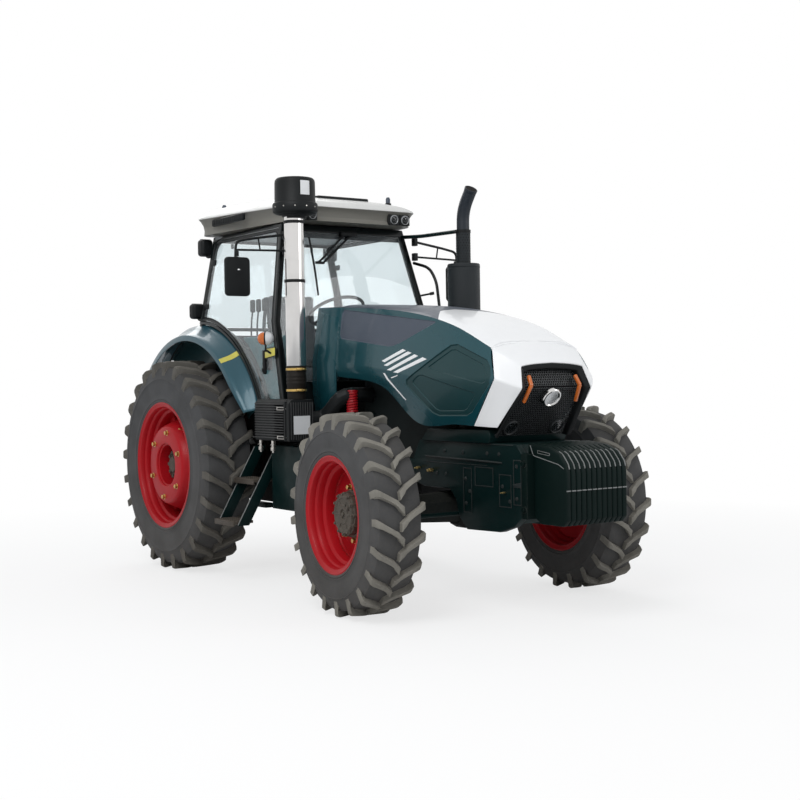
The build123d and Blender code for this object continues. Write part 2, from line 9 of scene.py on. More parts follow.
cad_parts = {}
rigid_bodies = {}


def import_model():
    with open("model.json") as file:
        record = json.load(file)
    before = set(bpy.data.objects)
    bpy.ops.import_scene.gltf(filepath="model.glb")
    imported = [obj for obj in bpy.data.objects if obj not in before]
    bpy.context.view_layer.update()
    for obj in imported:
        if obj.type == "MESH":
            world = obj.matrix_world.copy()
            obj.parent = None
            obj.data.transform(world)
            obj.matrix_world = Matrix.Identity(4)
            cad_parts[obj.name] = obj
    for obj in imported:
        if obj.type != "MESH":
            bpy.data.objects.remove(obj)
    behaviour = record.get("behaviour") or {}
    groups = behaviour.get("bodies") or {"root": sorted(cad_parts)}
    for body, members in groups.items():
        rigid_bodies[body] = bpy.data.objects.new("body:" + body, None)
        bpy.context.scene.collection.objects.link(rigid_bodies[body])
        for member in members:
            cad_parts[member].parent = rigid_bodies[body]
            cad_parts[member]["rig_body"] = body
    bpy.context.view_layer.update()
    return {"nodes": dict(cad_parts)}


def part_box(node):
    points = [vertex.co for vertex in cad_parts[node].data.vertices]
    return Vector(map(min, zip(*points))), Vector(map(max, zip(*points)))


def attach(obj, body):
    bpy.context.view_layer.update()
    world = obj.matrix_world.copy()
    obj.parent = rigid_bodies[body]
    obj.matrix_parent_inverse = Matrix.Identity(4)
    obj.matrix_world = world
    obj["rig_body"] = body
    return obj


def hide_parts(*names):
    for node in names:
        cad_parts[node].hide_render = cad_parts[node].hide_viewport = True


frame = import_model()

rear_low, rear_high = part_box("rear_tyre_right")
AXLE_X = (rear_low.x + rear_high.x) / 2      # shapes below are built from the floor point under the rear axle


# ---------------------------------------------------------------- mesh helpers
def ease(shape, width, steps=2, angle=28, edges=None):
    """Rounds the sharp edges of a shape."""
    if edges is None:
        edges = [e for e in shape.edges if len(e.link_faces) == 2 and e.calc_face_angle(0) > radians(angle)]
    if width > 0 and edges:
        bmesh.ops.bevel(shape, geom=edges, offset=width, segments=steps, profile=0.5, affect="EDGES",
                        clamp_overlap=True, material=-1)
    return shape


def cuboid(low, high, soft=0.003, steps=2):
    """A box between two corners with eased edges."""
    low, high = Vector(low), Vector(high)
    shape = bmesh.new()
    size = Matrix.Diagonal((*(high - low), 1))
    bmesh.ops.create_cube(shape, size=1.0, matrix=Matrix.Translation((low + high) / 2) @ size)
    return ease(shape, soft, steps)


ACROSS = {"x": lambda a, b, t: (t, a, b), "y": lambda a, b, t: (a, t, b), "z": lambda a, b, t: (a, b, t)}


def thickened(shape, faces, step):
    """Draws flat faces out by a step into a closed solid."""
    grown = bmesh.ops.extrude_face_region(shape, geom=faces)["geom"]
    bmesh.ops.translate(shape, verts=[v for v in grown if isinstance(v, bmesh.types.BMVert)], vec=step)
    bmesh.ops.recalc_face_normals(shape, faces=shape.faces)
    return shape


def slab(outline, axis, low, high, soft=0.003, steps=2):
    """A plate whose outline lies across one axis, from low to high along it."""
    across = ACROSS[axis]
    shape = bmesh.new()
    face = shape.faces.new([shape.verts.new(across(a, b, low)) for a, b in outline])
    return ease(thickened(shape, [face], across(0, 0, high - low)), soft, steps)


def drum(start, end, radius, sides=32, soft=0.002, end_radius=None, steps=2):
    """A round bar or cone between two points with eased rims."""
    start, end = Vector(start), Vector(end)
    run = end - start
    turn = run.to_track_quat("Z", "Y").to_matrix().to_4x4()
    shape = bmesh.new()
    bmesh.ops.create_cone(shape, cap_ends=True, segments=sides, radius1=radius,
                          radius2=radius if end_radius is None else end_radius, depth=run.length,
                          matrix=Matrix.Translation((start + end) / 2) @ turn)
    return ease(shape, soft, steps, 40)


def turned(profile, steps=64):
    """A lathe form about the Y axis from a closed profile of (radius, y) points."""
    shape = bmesh.new()
    points = [shape.verts.new((r, y, 0)) for r, y in profile]
    edges = [shape.edges.new(pair) for pair in zip(points, points[1:] + points[:1])]
    bmesh.ops.spin(shape, geom=points + edges, cent=(0, 0, 0), axis=(0, 1, 0), dvec=(0, 0, 0), angle=2 * pi,
                   steps=steps, use_merge=True, use_normal_flip=False, use_duplicate=False)
    bmesh.ops.remove_doubles(shape, verts=shape.verts, dist=1e-5)
    bmesh.ops.recalc_face_normals(shape, faces=shape.faces)
    return shape


def rounded(points, bend, steps=5):
    """A route whose corners are eased into short arcs."""
    points = [Vector(p) for p in points]
    route = [points[0]]
    for before, corner, after in zip(points, points[1:], points[2:]):
        a = corner + (before - corner).normalized() * min(bend, (before - corner).length * 0.49)
        b = corner + (after - corner).normalized() * min(bend, (after - corner).length * 0.49)
        route += [a * (1 - t) ** 2 + corner * (2 * t * (1 - t)) + b * t ** 2
                  for t in (i / steps for i in range(steps + 1))]
    return route + [points[-1]]


def placed(name, data):
    """A new object in the scene."""
    made = bpy.data.objects.new(name, data)
    bpy.context.scene.collection.objects.link(made)
    return made


def tube(points, radius, bend=0.0, sides=12, closed=False):
    """A round bar along a route."""
    route = rounded(points, bend) if bend else [Vector(p) for p in points]
    curve = bpy.data.curves.new("run", "CURVE")
    curve.dimensions = "3D"
    curve.bevel_depth, curve.bevel_resolution, curve.use_fill_caps = radius, max((sides - 4) // 2, 0), True
    spline = curve.splines.new("POLY")
    spline.points.add(len(route) - 1)
    for spot, p in zip(spline.points, route):
        spot.co = (*p, 1)
    spline.use_cyclic_u = closed
    carrier = placed("run", curve)
    bpy.context.view_layer.update()
    mesh = bpy.data.meshes.new_from_object(carrier.evaluated_get(bpy.context.evaluated_depsgraph_get()))
    shape = bmesh.new()
    shape.from_mesh(mesh)
    bmesh.ops.remove_doubles(shape, verts=shape.verts, dist=1e-6)
    bpy.data.objects.remove(carrier)
    bpy.data.curves.remove(curve)
    bpy.data.meshes.remove(mesh)
    return shape


def as_mesh(shape, name="carry"):
    """A shape's mesh; the shape is used up."""
    mesh = bpy.data.meshes.new(name)
    shape.to_mesh(mesh)
    shape.free()
    return mesh


def together(*shapes):
    """One shape out of several."""
    whole = bmesh.new()
    for shape in shapes:
        mesh = as_mesh(shape)
        whole.from_mesh(mesh)
        bpy.data.meshes.remove(mesh)
    return whole


def repeated(shape, places):
    """The same shape at each of several places."""
    whole, mesh = bmesh.new(), as_mesh(shape)
    for place in places:
        copy = mesh.copy()
        copy.transform(place)
        if place.determinant() < 0:
            copy.flip_normals()
        whole.from_mesh(copy)
        bpy.data.meshes.remove(copy)
    bpy.data.meshes.remove(mesh)
    return whole


MIRROR = Matrix.Diagonal((1, -1, 1, 1))


def moved(shape, place):
    """A shape taken to another place."""
    return repeated(shape, [place])


def both_sides(shape):
    """A shape and its mirror image across the machine."""
    return repeated(shape, [Matrix.Identity(4), MIRROR])


UPRIGHT = Matrix.Rotation(radians(90), 4, "X")      # takes the Y axis to the Z axis


def turned_up(profile, steps):
    """A lathe form about the Z axis from a profile of (radius, z) points."""
    return moved(turned(profile, steps), UPRIGHT)


def around(count, start=0.0):
    """Places turned evenly about the Y axis, from a start in degrees."""
    return [Matrix.Rotation(radians(360.0 / count * i + start), 4, "Y") for i in range(count)]


def polar(radius, degrees, y=0.0):
    """A point at a radius and an angle about the Y axis."""
    return Vector((radius * cos(radians(degrees)), y, radius * sin(radians(degrees))))


def grid(across, down, place):
    """A sheet of four-sided faces, each corner placed by its shares (0 to 1) across and down."""
    shape = bmesh.new()
    bmesh.ops.create_grid(shape, x_segments=across, y_segments=down, size=0.5)
    for v in shape.verts:
        v.co = place(v.co.x + 0.5, v.co.y + 0.5)
    bmesh.ops.recalc_face_normals(shape, faces=shape.faces)
    return shape


def faced(shape, axis):
    """Turns a sheet's faces so that they look along an axis on the whole."""
    bmesh.ops.recalc_face_normals(shape, faces=shape.faces)
    if sum(face.normal[axis] * face.calc_area() for face in shape.faces) < 0:
        bmesh.ops.reverse_faces(shape, faces=shape.faces)
    return shape


def solid(shape, thickness):
    """Gives a sheet its thickness."""
    bmesh.ops.solidify(shape, geom=shape.faces[:], thickness=thickness)
    return shape


def all_of(shape):
    """Every vertex, edge and face of a shape."""
    return shape.verts[:] + shape.edges[:] + shape.faces[:]


def painted(shape, index):
    """The shape with all its faces given one of the piece's materials."""
    for face in shape.faces:
        face.material_index = index
    return shape


def facing(centre, direction, roll=0.0):
    """A place whose Z axis points along a direction."""
    turn = Vector(direction).to_track_quat("Z", "Y").to_matrix().to_4x4()
    return Matrix.Translation(centre) @ turn @ Matrix.Rotation(roll, 4, "Z")


def bolt(across=0.024, height=0.014):
    """A hexagon head on its washer, standing up from the origin along Z."""
    washer = drum((0, 0, -0.001), (0, 0, 0.003), across * 0.75, 20, 0.0008, steps=1)
    head = drum((0, 0, 0.003), (0, 0, height), across * 0.577, 6, 0.0014, steps=1)
    return together(washer, head)


def bolts(places, across=0.024, height=0.014):
    """Bolt heads at (centre, direction) places, each turned a little further than the one before."""
    return repeated(bolt(across, height), [facing(c, d, i * 0.7) for i, (c, d) in enumerate(places)])


def bolt_circle(radius, y, count, start, across, height):
    """Bolt heads facing outwards on a wheel."""
    return bolts([(polar(radius, 360.0 / count * i + start, y), (0, 1, 0)) for i in range(count)], across,
                 height)


def piece(name, shape, materials, body="chassis", nodes=(), smooth=32):
    """Puts a shape into the scene as one piece that rides on its body and takes the place of its nodes."""
    bmesh.ops.remove_doubles(shape, verts=shape.verts, dist=1e-5)
    bmesh.ops.recalc_face_normals(shape, faces=shape.faces)
    bmesh.ops.translate(shape, verts=shape.verts, vec=(AXLE_X, 0, 0))
    mesh = as_mesh(shape, name)
    for material in materials if isinstance(materials, (list, tuple)) else [materials]:
        mesh.materials.append(material)
    mesh.polygons.foreach_set("use_smooth", [True] * len(mesh.polygons))
    mesh.set_sharp_from_angle(angle=radians(smooth))
    made = placed(name, mesh)
    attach(made, body)
    if nodes:
        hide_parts(*([nodes] if isinstance(nodes, str) else nodes))


def cad_shape(node):
    """A copy of a node's shape with its facets joined up, in the same measures as the rest of this script."""
    shape = bmesh.new()
    shape.from_mesh(frame["nodes"][node].data)
    bmesh.ops.remove_doubles(shape, verts=shape.verts, dist=2e-5)
    bmesh.ops.dissolve_limit(shape, angle_limit=radians(1), verts=shape.verts, edges=shape.edges)
    bmesh.ops.translate(shape, verts=shape.verts, vec=(-AXLE_X, 0, 0))
    return shape


def dressed(node, material):
    """A node with eased edges and its finish."""
    shape = painted(ease(cad_shape(node), 0.004), 0)
    piece(f"{node}_finished", shape, material, frame["nodes"][node]["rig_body"], node)


# ---------------------------------------------------------------- materials
def put(tree, kind, sockets=None, **settings):
    """Adds a shader node, with values or links on its sockets."""
    made = tree.nodes.new("ShaderNode" + kind)
    for key, value in settings.items():
        setattr(made, key, value)
    for key, value in (sockets or {}).items():
        if isinstance(value, bpy.types.NodeSocket):
            tree.links.new(value, made.inputs[key])
        else:
            made.inputs[key].default_value = value
    return made


def mixed(tree, share, first, second, blend="MIX"):
    """One colour laid over another."""
    return put(tree, "Mix", {0: share, 6: first, 7: second}, data_type="RGBA", blend_type=blend).outputs[2]


def sums(tree, operation, *values, clamp=False):
    """One step of arithmetic on values."""
    return put(tree, "Math", dict(enumerate(values)), operation=operation, use_clamp=clamp).outputs[0]


def spread(tree, value, low, high, to_low=0.0, to_high=1.0):
    """A value's range stretched over another, and held inside it."""
    return put(tree, "MapRange", {0: value, 1: low, 2: high, 3: to_low, 4: to_high}).outputs[0]


def new_group(name, inputs, outputs):
    """An empty node group, and the sockets that its inside reads and writes."""
    tree = bpy.data.node_groups.new(name, "ShaderNodeTree")
    for label, kind, default in inputs:
        socket = tree.interface.new_socket(label, in_out="INPUT", socket_type="NodeSocket" + kind)
        socket.default_value = default
    for label, kind in outputs:
        tree.interface.new_socket(label, in_out="OUTPUT", socket_type="NodeSocket" + kind)
    return tree, tree.nodes.new("NodeGroupInput").outputs, tree.nodes.new("NodeGroupOutput").inputs


def weathering():
    """Patchy colour, dust low down and on what faces up, and worn edges."""
    grey = (0.5, 0.5, 0.5, 1)
    tree, given, out = new_group("weathering", [("Colour", "Color", grey), ("Worn", "Color", grey),
                                                ("Dust", "Color", (0.25, 0.21, 0.16, 1)),
                                                ("Dusting", "Float", 0.2), ("Mottle", "Float", 0.2),
                                                ("Scale", "Float", 3.0), ("Edge", "Float", 0.004),
                                                ("Wear", "Float", 0.0), ("Roughness", "Float", 0.4)],
                                 [("Colour", "Color"), ("Roughness", "Float"), ("Height", "Float")])
    where = put(tree, "TexCoord").outputs["Object"]
    patches = put(tree, "TexNoise", {"Vector": where, "Scale": given["Scale"], "Detail": 5.0}).outputs["Fac"]
    fine = put(tree, "TexNoise", {"Vector": where, "Scale": sums(tree, "MULTIPLY", given["Scale"], 14.0),
                                  "Detail": 4.0}).outputs["Fac"]
    patchy = sums(tree, "MULTIPLY", spread(tree, patches, 0.38, 0.66), given["Mottle"])
    colour = mixed(tree, patchy, given["Colour"], (0.45, 0.45, 0.45, 1), "MULTIPLY")
    height = put(tree, "SeparateXYZ", {0: where}).outputs["Z"]
    surface = put(tree, "NewGeometry").outputs["Normal"]
    up = spread(tree, put(tree, "SeparateXYZ", {0: surface}).outputs["Z"], 0.3, 1.0, 0.0, 0.5)
    low = sums(tree, "ADD", spread(tree, height, 1.3, 0.1, 0.0, 0.6), up)
    settled = sums(tree, "MULTIPLY", sums(tree, "MULTIPLY", low, spread(tree, fine, 0.25, 0.75, 0.3, 1.5)),
                   given["Dusting"], clamp=True)
    colour = mixed(tree, settled, colour, given["Dust"])
    eased = put(tree, "Bevel", {"Radius": given["Edge"]}, samples=4).outputs[0]
    flatness = put(tree, "VectorMath", {0: eased, 1: surface}, operation="DOT_PRODUCT").outputs["Value"]
    edge = spread(tree, flatness, 0.985, 0.86)
    rubbed = sums(tree, "MULTIPLY", sums(tree, "MULTIPLY", edge, spread(tree, fine, 0.42, 0.6)),
                  given["Wear"], clamp=True)
    tree.links.new(mixed(tree, rubbed, colour, given["Worn"]), out["Colour"])
    dull = sums(tree, "ADD", given["Roughness"], sums(tree, "MULTIPLY", settled, 0.35))
    tree.links.new(sums(tree, "ADD", dull, spread(tree, patches, 0.3, 0.7, -0.04, 0.04), clamp=True),
                   out["Roughness"])
    tree.links.new(fine, out["Height"])
    return tree


def grain():
    """Small raised grains, as on moulded plastic, castings and rubber."""
    tree, given, out = new_group("grain", [("Size", "Float", 400.0)], [("Height", "Float")])
    where = put(tree, "TexCoord").outputs["Object"]
    cells = put(tree, "TexVoronoi", {"Vector": where, "Scale": given["Size"]},
                feature="SMOOTH_F1").outputs["Distance"]
    lumps = put(tree, "TexNoise", {"Vector": where, "Scale": sums(tree, "MULTIPLY", given["Size"], 0.3),
                                   "Detail": 3.0}).outputs["Fac"]
    tree.links.new(sums(tree, "ADD", cells, lumps), out["Height"])
    return tree


def weave():
    """Crossed threads."""
    tree, given, out = new_group("weave", [("Threads", "Float", 300.0)], [("Height", "Float")])
    where = put(tree, "TexCoord").outputs["Object"]
    runs = [put(tree, "TexWave", {"Vector": where, "Scale": given["Threads"], "Distortion": 0.4},
                bands_direction=way).outputs["Fac"] for way in ("X", "Y", "Z")]
    crossed = sums(tree, "MAXIMUM", sums(tree, "MULTIPLY", runs[0], runs[1]), sums(tree, "MULTIPLY", runs[1],
                                                                                   runs[2]))
    tree.links.new(crossed, out["Height"])
    return tree


WEATHERING, GRAIN, WEAVE = weathering(), grain(), weave()
DUST = (0.13, 0.11, 0.085, 1)


def use(tree, group, **values):
    """Puts a node group to work with values of its own."""
    made = tree.nodes.new("ShaderNodeGroup")
    made.node_tree = group
    for key, value in values.items():
        made.inputs[key].default_value = value
    return made.outputs


def finish(name, colour, rough=0.4, metallic=0.0, worn=None, dusting=0.15, mottle=0.2, scale=3.0, edge=0.004,
           wear=0.0, coat=0.0, bump=0.0, size=0.0, depth=0.0006, specular=0.3, **shader):
    """A material: its colour with weathering, and grain of a size where it has some."""
    made = bpy.data.materials.new(name)
    made.use_nodes = True
    tree = made.node_tree
    principled = tree.nodes["Principled BSDF"]
    aged = use(tree, WEATHERING, Colour=(*colour, 1), Worn=(*(worn or colour), 1), Dust=DUST, Dusting=dusting,
               Mottle=mottle, Scale=scale, Edge=edge, Wear=wear, Roughness=rough)
    tree.links.new(aged["Colour"], principled.inputs["Base Color"])
    tree.links.new(aged["Roughness"], principled.inputs["Roughness"])
    principled.inputs["Metallic"].default_value = metallic
    principled.inputs["Coat Weight"].default_value = coat
    principled.inputs["Coat Roughness"].default_value = 0.04
    principled.inputs["Coat IOR"].default_value = 1.28
    principled.inputs["Specular IOR Level"].default_value = specular
    for key, value in shader.items():
        principled.inputs[key.replace("_", " ")].default_value = value
    if bump:
        height = use(tree, GRAIN, Size=size)["Height"] if size else aged["Height"]
        relief = put(tree, "Bump", {"Strength": bump, "Distance": depth, "Height": height})
        tree.links.new(relief.outputs[0], principled.inputs["Normal"])
    return made


BARE = (0.30, 0.29, 0.27)
TEAL = finish("teal_paint", (0.006, 0.056, 0.070), 0.28, 0.2, dusting=0.03, mottle=0.14, scale=1.6, coat=0.6,
              bump=0.05, depth=0.0004, specular=0.25)
TEAL_DEEP = finish("teal_vent", (0.009, 0.040, 0.044), 0.40, 0.1, dusting=0.08, mottle=0.18, coat=0.2,
                   bump=0.10, size=900.0, specular=0.2)
WHITE = finish("white_paint", (0.83, 0.835, 0.84), 0.34, dusting=0.05, mottle=0.05, scale=2.0, coat=0.4,
               bump=0.04, depth=0.0004, specular=0.25)
ROOF_WHITE = finish("roof_shell", (0.70, 0.70, 0.68), 0.45, dusting=0.16, mottle=0.10, scale=2.5, coat=0.15,
                    bump=0.08, specular=0.2)
ROOF_SIDE = finish("roof_band", (0.16, 0.155, 0.135), 0.45, dusting=0.2, mottle=0.12, coat=0.2, bump=0.1,
                   size=700.0)
PANEL_GREY = finish("bonnet_panel", (0.056, 0.070, 0.096), 0.42, dusting=0.12, mottle=0.15, coat=0.15,
                    bump=0.15, size=800.0)
BLACK = finish("black_paint", (0.0009, 0.0105, 0.0105), 0.42, worn=BARE, dusting=0.03, mottle=0.35, wear=0.16,
               coat=0.10, bump=0.12, specular=0.12)
PLASTIC = finish("black_plastic", (0.0085, 0.0098, 0.0105), 0.50, worn=(0.06, 0.06, 0.06), dusting=0.09,
                 mottle=0.3, wear=0.3, bump=0.25, size=700.0, specular=0.16)
PILLAR = finish("pillar_paint", (0.0040, 0.0065, 0.0070), 0.30, worn=BARE, dusting=0.05, mottle=0.25,
                wear=0.1, coat=0.25, bump=0.04, specular=0.15)
RED = finish("red_paint", (0.37, 0.003, 0.008), 0.44, worn=(0.20, 0.05, 0.04), dusting=0.02, mottle=0.18,
             wear=0.35, coat=0.06, bump=0.06, specular=0.2)
CAST = finish("cast_iron", (0.0075, 0.0110, 0.0110), 0.60, worn=BARE, dusting=0.14, mottle=0.45, scale=5.0,
              wear=0.25, bump=0.5, size=260.0, depth=0.0012, specular=0.12)
HUB = finish("hub_iron", (0.060, 0.052, 0.042), 0.62, worn=BARE, dusting=0.7, mottle=0.4, scale=8.0, wear=0.3,
             bump=0.5, size=300.0, depth=0.0010)
TREAD = finish("tread_rubber", (0.112, 0.106, 0.094), 0.80, worn=(0.24, 0.22, 0.19), dusting=0.35,
               mottle=0.50, scale=7.0, edge=0.008, wear=0.5, bump=0.5, size=180.0, depth=0.0014,
               specular=0.15)
# a paler copy of the tread rubber, used on the front tyres' bars
PALE_TREAD = finish("pale_tread_rubber", (0.215, 0.205, 0.180), 0.82, worn=(0.33, 0.31, 0.27), dusting=0.30,
                   mottle=0.40, scale=7.0, edge=0.008, wear=0.5, bump=0.5, size=180.0, depth=0.0014,
                   specular=0.15)
WALL = finish("wall_rubber", (0.066, 0.067, 0.069), 0.66, worn=(0.12, 0.11, 0.10), dusting=0.32, mottle=0.45,
              scale=4.0, edge=0.006, wear=0.2, bump=0.35, size=220.0, depth=0.0010, specular=0.15)
RUBBER = finish("hose_rubber", (0.013, 0.011, 0.009), 0.62, worn=(0.06, 0.05, 0.04), dusting=0.15, mottle=0.3,
                wear=0.2, bump=0.3, size=400.0, specular=0.15)
STEEL = finish("bright_steel", (0.52, 0.50, 0.47), 0.32, 1.0, worn=(0.7, 0.7, 0.68), dusting=0.15,
               mottle=0.25, scale=12.0, wear=0.2, bump=0.15)
CHROME = finish("chrome", (0.68, 0.67, 0.66), 0.12, 1.0, dusting=0.08, mottle=0.16, scale=6.0, bump=0.02)
ZINC = finish("gold_zinc", (0.62, 0.42, 0.14), 0.34, 1.0, worn=(0.7, 0.6, 0.4), dusting=0.2, mottle=0.3,
              scale=30.0, wear=0.3, bump=0.1)
SILVER = finish("lamp_silver", (0.62, 0.63, 0.64), 0.22, 0.8, dusting=0.08, mottle=0.1, scale=20.0, bump=0.05)
AMBER = finish("amber_lens", (0.55, 0.13, 0.02), 0.18, dusting=0.08, mottle=0.2, scale=25.0, coat=1.0,
               bump=0.2, size=160.0)
YELLOW = finish("yellow_strip", (0.62, 0.56, 0.10), 0.35, dusting=0.15, mottle=0.15, scale=15.0, coat=0.3,
                bump=0.1, size=600.0)
LAMP_GREY = finish("lamp_reflector", (0.32, 0.33, 0.34), 0.3, 0.6, dusting=0.08, mottle=0.2, scale=20.0,
                   bump=0.05)
# a mottled, brightened teal lining seen through the lower door glass: a lining that also paints the teal
# reflection there
TEAL_LINING_AND_REFLECTION = finish("teal_lining_and_reflection", (0.004, 0.120, 0.135), 0.5, dusting=0.1, mottle=0.7, scale=9.0, coat=0.2,
                bump=0.1)
COIL_RED = finish("red_coil", (0.34, 0.004, 0.010), 0.42, dusting=0.15, mottle=0.2, wear=0.2, coat=0.2,
                  bump=0.05)
LINER = finish("pale_liner", (0.30, 0.32, 0.33), 0.6, dusting=0.1, mottle=0.15, bump=0.2, size=300.0)
MESH_WIRE = finish("mesh_wire", (0.040, 0.044, 0.046), 0.42, dusting=0.1, mottle=0.2, coat=0.2, bump=0.1,
                   size=600.0)
BRASS = finish("brass", (0.55, 0.42, 0.18), 0.35, 0.9, dusting=0.2, mottle=0.4, scale=30.0, bump=0.2)
PLATE = finish("blank_plate", (0.66, 0.67, 0.68), 0.38, dusting=0.1, mottle=0.08, scale=10.0, bump=0.05)
MIRROR_FACE = finish("mirror_face", (0.75, 0.77, 0.78), 0.04, 1.0, dusting=0.03, mottle=0.03)
FLOOR_MAT = finish("floor_mat", (0.008, 0.008, 0.009), 0.75, dusting=0.15, mottle=0.3, bump=0.5, size=120.0,
                   specular=0.1)
SILENCER = finish("silencer_black", (0.006, 0.010, 0.013), 0.46, worn=(0.05, 0.05, 0.05), dusting=0.08,
                  mottle=0.3, wear=0.2, bump=0.9, size=420.0, depth=0.0020, specular=0.3)
BLUED = finish("blued_steel", (0.016, 0.022, 0.030), 0.44, worn=(0.09, 0.08, 0.07), dusting=0.10, mottle=0.4,
               scale=6.0, wear=0.3, bump=0.25, specular=0.3)
BALLAST = finish("ballast_paint", (0.0012, 0.0070, 0.0062), 0.50, worn=(0.16, 0.16, 0.15), dusting=0.02,
                 mottle=0.35, wear=0.25, bump=0.3, size=300.0, specular=0.08)
RIBBING = finish("rib_plastic", (0.030, 0.031, 0.032), 0.48, worn=(0.12, 0.12, 0.12), dusting=0.15,
                 mottle=0.3, wear=0.3, bump=0.2, size=500.0)
FRAME_EDGE = finish("frame_edges", (0.016, 0.022, 0.023), 0.42, worn=(0.12, 0.12, 0.11), dusting=0.12,
                    mottle=0.4, wear=0.3, coat=0.1, bump=0.15, specular=0.2)
# also paints highlights: the bright bends and face outlines of the ballast plates are painted highlight as
# well as wear
WEAR_AND_HIGHLIGHT = finish("wear_and_highlight_edge", (0.20, 0.21, 0.21), 0.42, 0.3, worn=(0.5, 0.5, 0.48), dusting=0.1, mottle=0.6,
                scale=20.0, wear=0.3, bump=0.2)
STEP_TREAD = finish("step_tread", (0.050, 0.040, 0.032), 0.55, worn=(0.25, 0.22, 0.18), dusting=0.3,
                    mottle=0.4, scale=9.0, wear=0.4, bump=0.3)
FENDER_TEAL = finish("fender_paint", (0.020, 0.078, 0.105), 0.30, 0.15, dusting=0.04, mottle=0.18, scale=2.0,
                     coat=0.5, bump=0.05, depth=0.0004, specular=0.25)
SEAT_SIDE = finish("seat_vinyl", (0.022, 0.023, 0.025), 0.5, dusting=0.15, mottle=0.25, bump=0.3, size=500.0)


def glazing(name, colour, alpha):
    """Thin tinted sheet glass."""
    made = bpy.data.materials.new(name)
    made.use_nodes = True
    tree = made.node_tree
    shader = tree.nodes["Principled BSDF"]
    aged = use(tree, WEATHERING, Colour=(*colour, 1), Worn=(*colour, 1), Dust=(0.7, 0.68, 0.62, 1),
               Dusting=0.04, Mottle=0.05, Scale=1.5, Edge=0.0, Wear=0.0, Roughness=0.015)
    tree.links.new(aged["Colour"], shader.inputs["Base Color"])
    tree.links.new(aged["Roughness"], shader.inputs["Roughness"])
    for key, value in (("Transmission Weight", alpha), ("IOR", 1.12), ("Coat Weight", 0.5),
                       ("Coat Roughness", 0.02)):
        shader.inputs[key].default_value = value
    path = put(tree, "LightPath").outputs
    clear = put(tree, "BsdfTransparent", {"Color": (0.92, 0.95, 0.96, 1)})
    passing = sums(tree, "MAXIMUM", path["Is Shadow Ray"], path["Is Diffuse Ray"])
    blend = put(tree, "MixShader", {0: passing, 1: shader.outputs[0], 2: clear.outputs[0]})
    tree.links.new(blend.outputs[0], tree.nodes["Material Output"].inputs["Surface"])
    return made


GLASS = glazing("tinted_glass", (0.88, 0.935, 0.95), 0.95)
LENS = glazing("clear_lens", (0.92, 0.94, 0.95), 1.0)


def cloth():
    """Seat cloth."""
    made = finish("seat_cloth", (0.035, 0.038, 0.042), 0.85, dusting=0.25, mottle=0.25, scale=8.0,
                  Sheen_Weight=0.4)
    tree = made.node_tree
    threads = use(tree, WEAVE, Threads=160.0)["Height"]
    relief = put(tree, "Bump", {"Strength": 0.5, "Distance": 0.0008, "Height": threads})
    tree.links.new(relief.outputs[0], tree.nodes["Principled BSDF"].inputs["Normal"])
    return made


CLOTH = cloth()


# ---------------------------------------------------------------- camera, floor and light
def camera():
    """A long lens to the front right, about level with the grille."""
    eye = Vector((9.839 + AXLE_X, -5.427, 1.512))
    heading, rise, roll = radians(145.61), radians(-0.94), radians(-0.88)
    ahead = Vector((cos(rise) * cos(heading), cos(rise) * sin(heading), sin(rise)))
    right = ahead.cross(Vector((0, 0, 1))).normalized()
    above = right.cross(ahead)
    right, above = right * cos(roll) + above * sin(roll), above * cos(roll) - right * sin(roll)
    data = bpy.data.cameras.new("camera")
    data.sensor_width, data.lens = 36.0, 59.1
    made = placed("camera", data)
    made.matrix_world = Matrix.Translation(eye) @ Matrix((right, above, -ahead)).transposed().to_4x4()
    bpy.context.scene.camera = made


def floor():
    """A pale floor that turns to plain white away from the machine."""
    shape = bmesh.new()
    bmesh.ops.create_grid(shape, x_segments=8, y_segments=8, size=60.0)
    bmesh.ops.translate(shape, verts=shape.verts, vec=(0, 0, -0.002))
    mesh = as_mesh(shape, "floor")
    made = placed("floor", mesh)
    pale = bpy.data.materials.new("pale_floor")
    pale.use_nodes = True
    tree = pale.node_tree
    lit = tree.nodes["Principled BSDF"]
    lit.inputs["Base Color"].default_value = (0.86, 0.86, 0.86, 1)
    lit.inputs["Roughness"].default_value = 0.8
    glow = put(tree, "Emission", {"Color": (1, 1, 1, 1), "Strength": 1.0})
    path = put(tree, "LightPath").outputs
    seen = sums(tree, "MAXIMUM", path["Is Camera Ray"], path["Is Transmission Ray"])
    where = put(tree, "TexCoord").outputs["Object"]
    away = spread(tree, put(tree, "VectorMath", {0: where}, operation="LENGTH").outputs["Value"], 3.0, 7.0,
                  0.72, 1.0)
    blend = put(tree, "MixShader", {0: sums(tree, "MULTIPLY", seen, away), 1: lit.outputs[0],
                                    2: glow.outputs[0]})
    tree.links.new(blend.outputs[0], tree.nodes["Material Output"].inputs["Surface"])
    mesh.materials.append(pale)


def area_light(name, place, target, size, power):
    """A round soft light aimed at a point."""
    data = bpy.data.lights.new(name, "AREA")
    data.shape, data.size, data.energy = "DISK", size, power
    made = placed(name, data)
    made.location = place
    made.rotation_euler = (Vector(target) - Vector(place)).to_track_quat("-Z", "Y").to_euler()


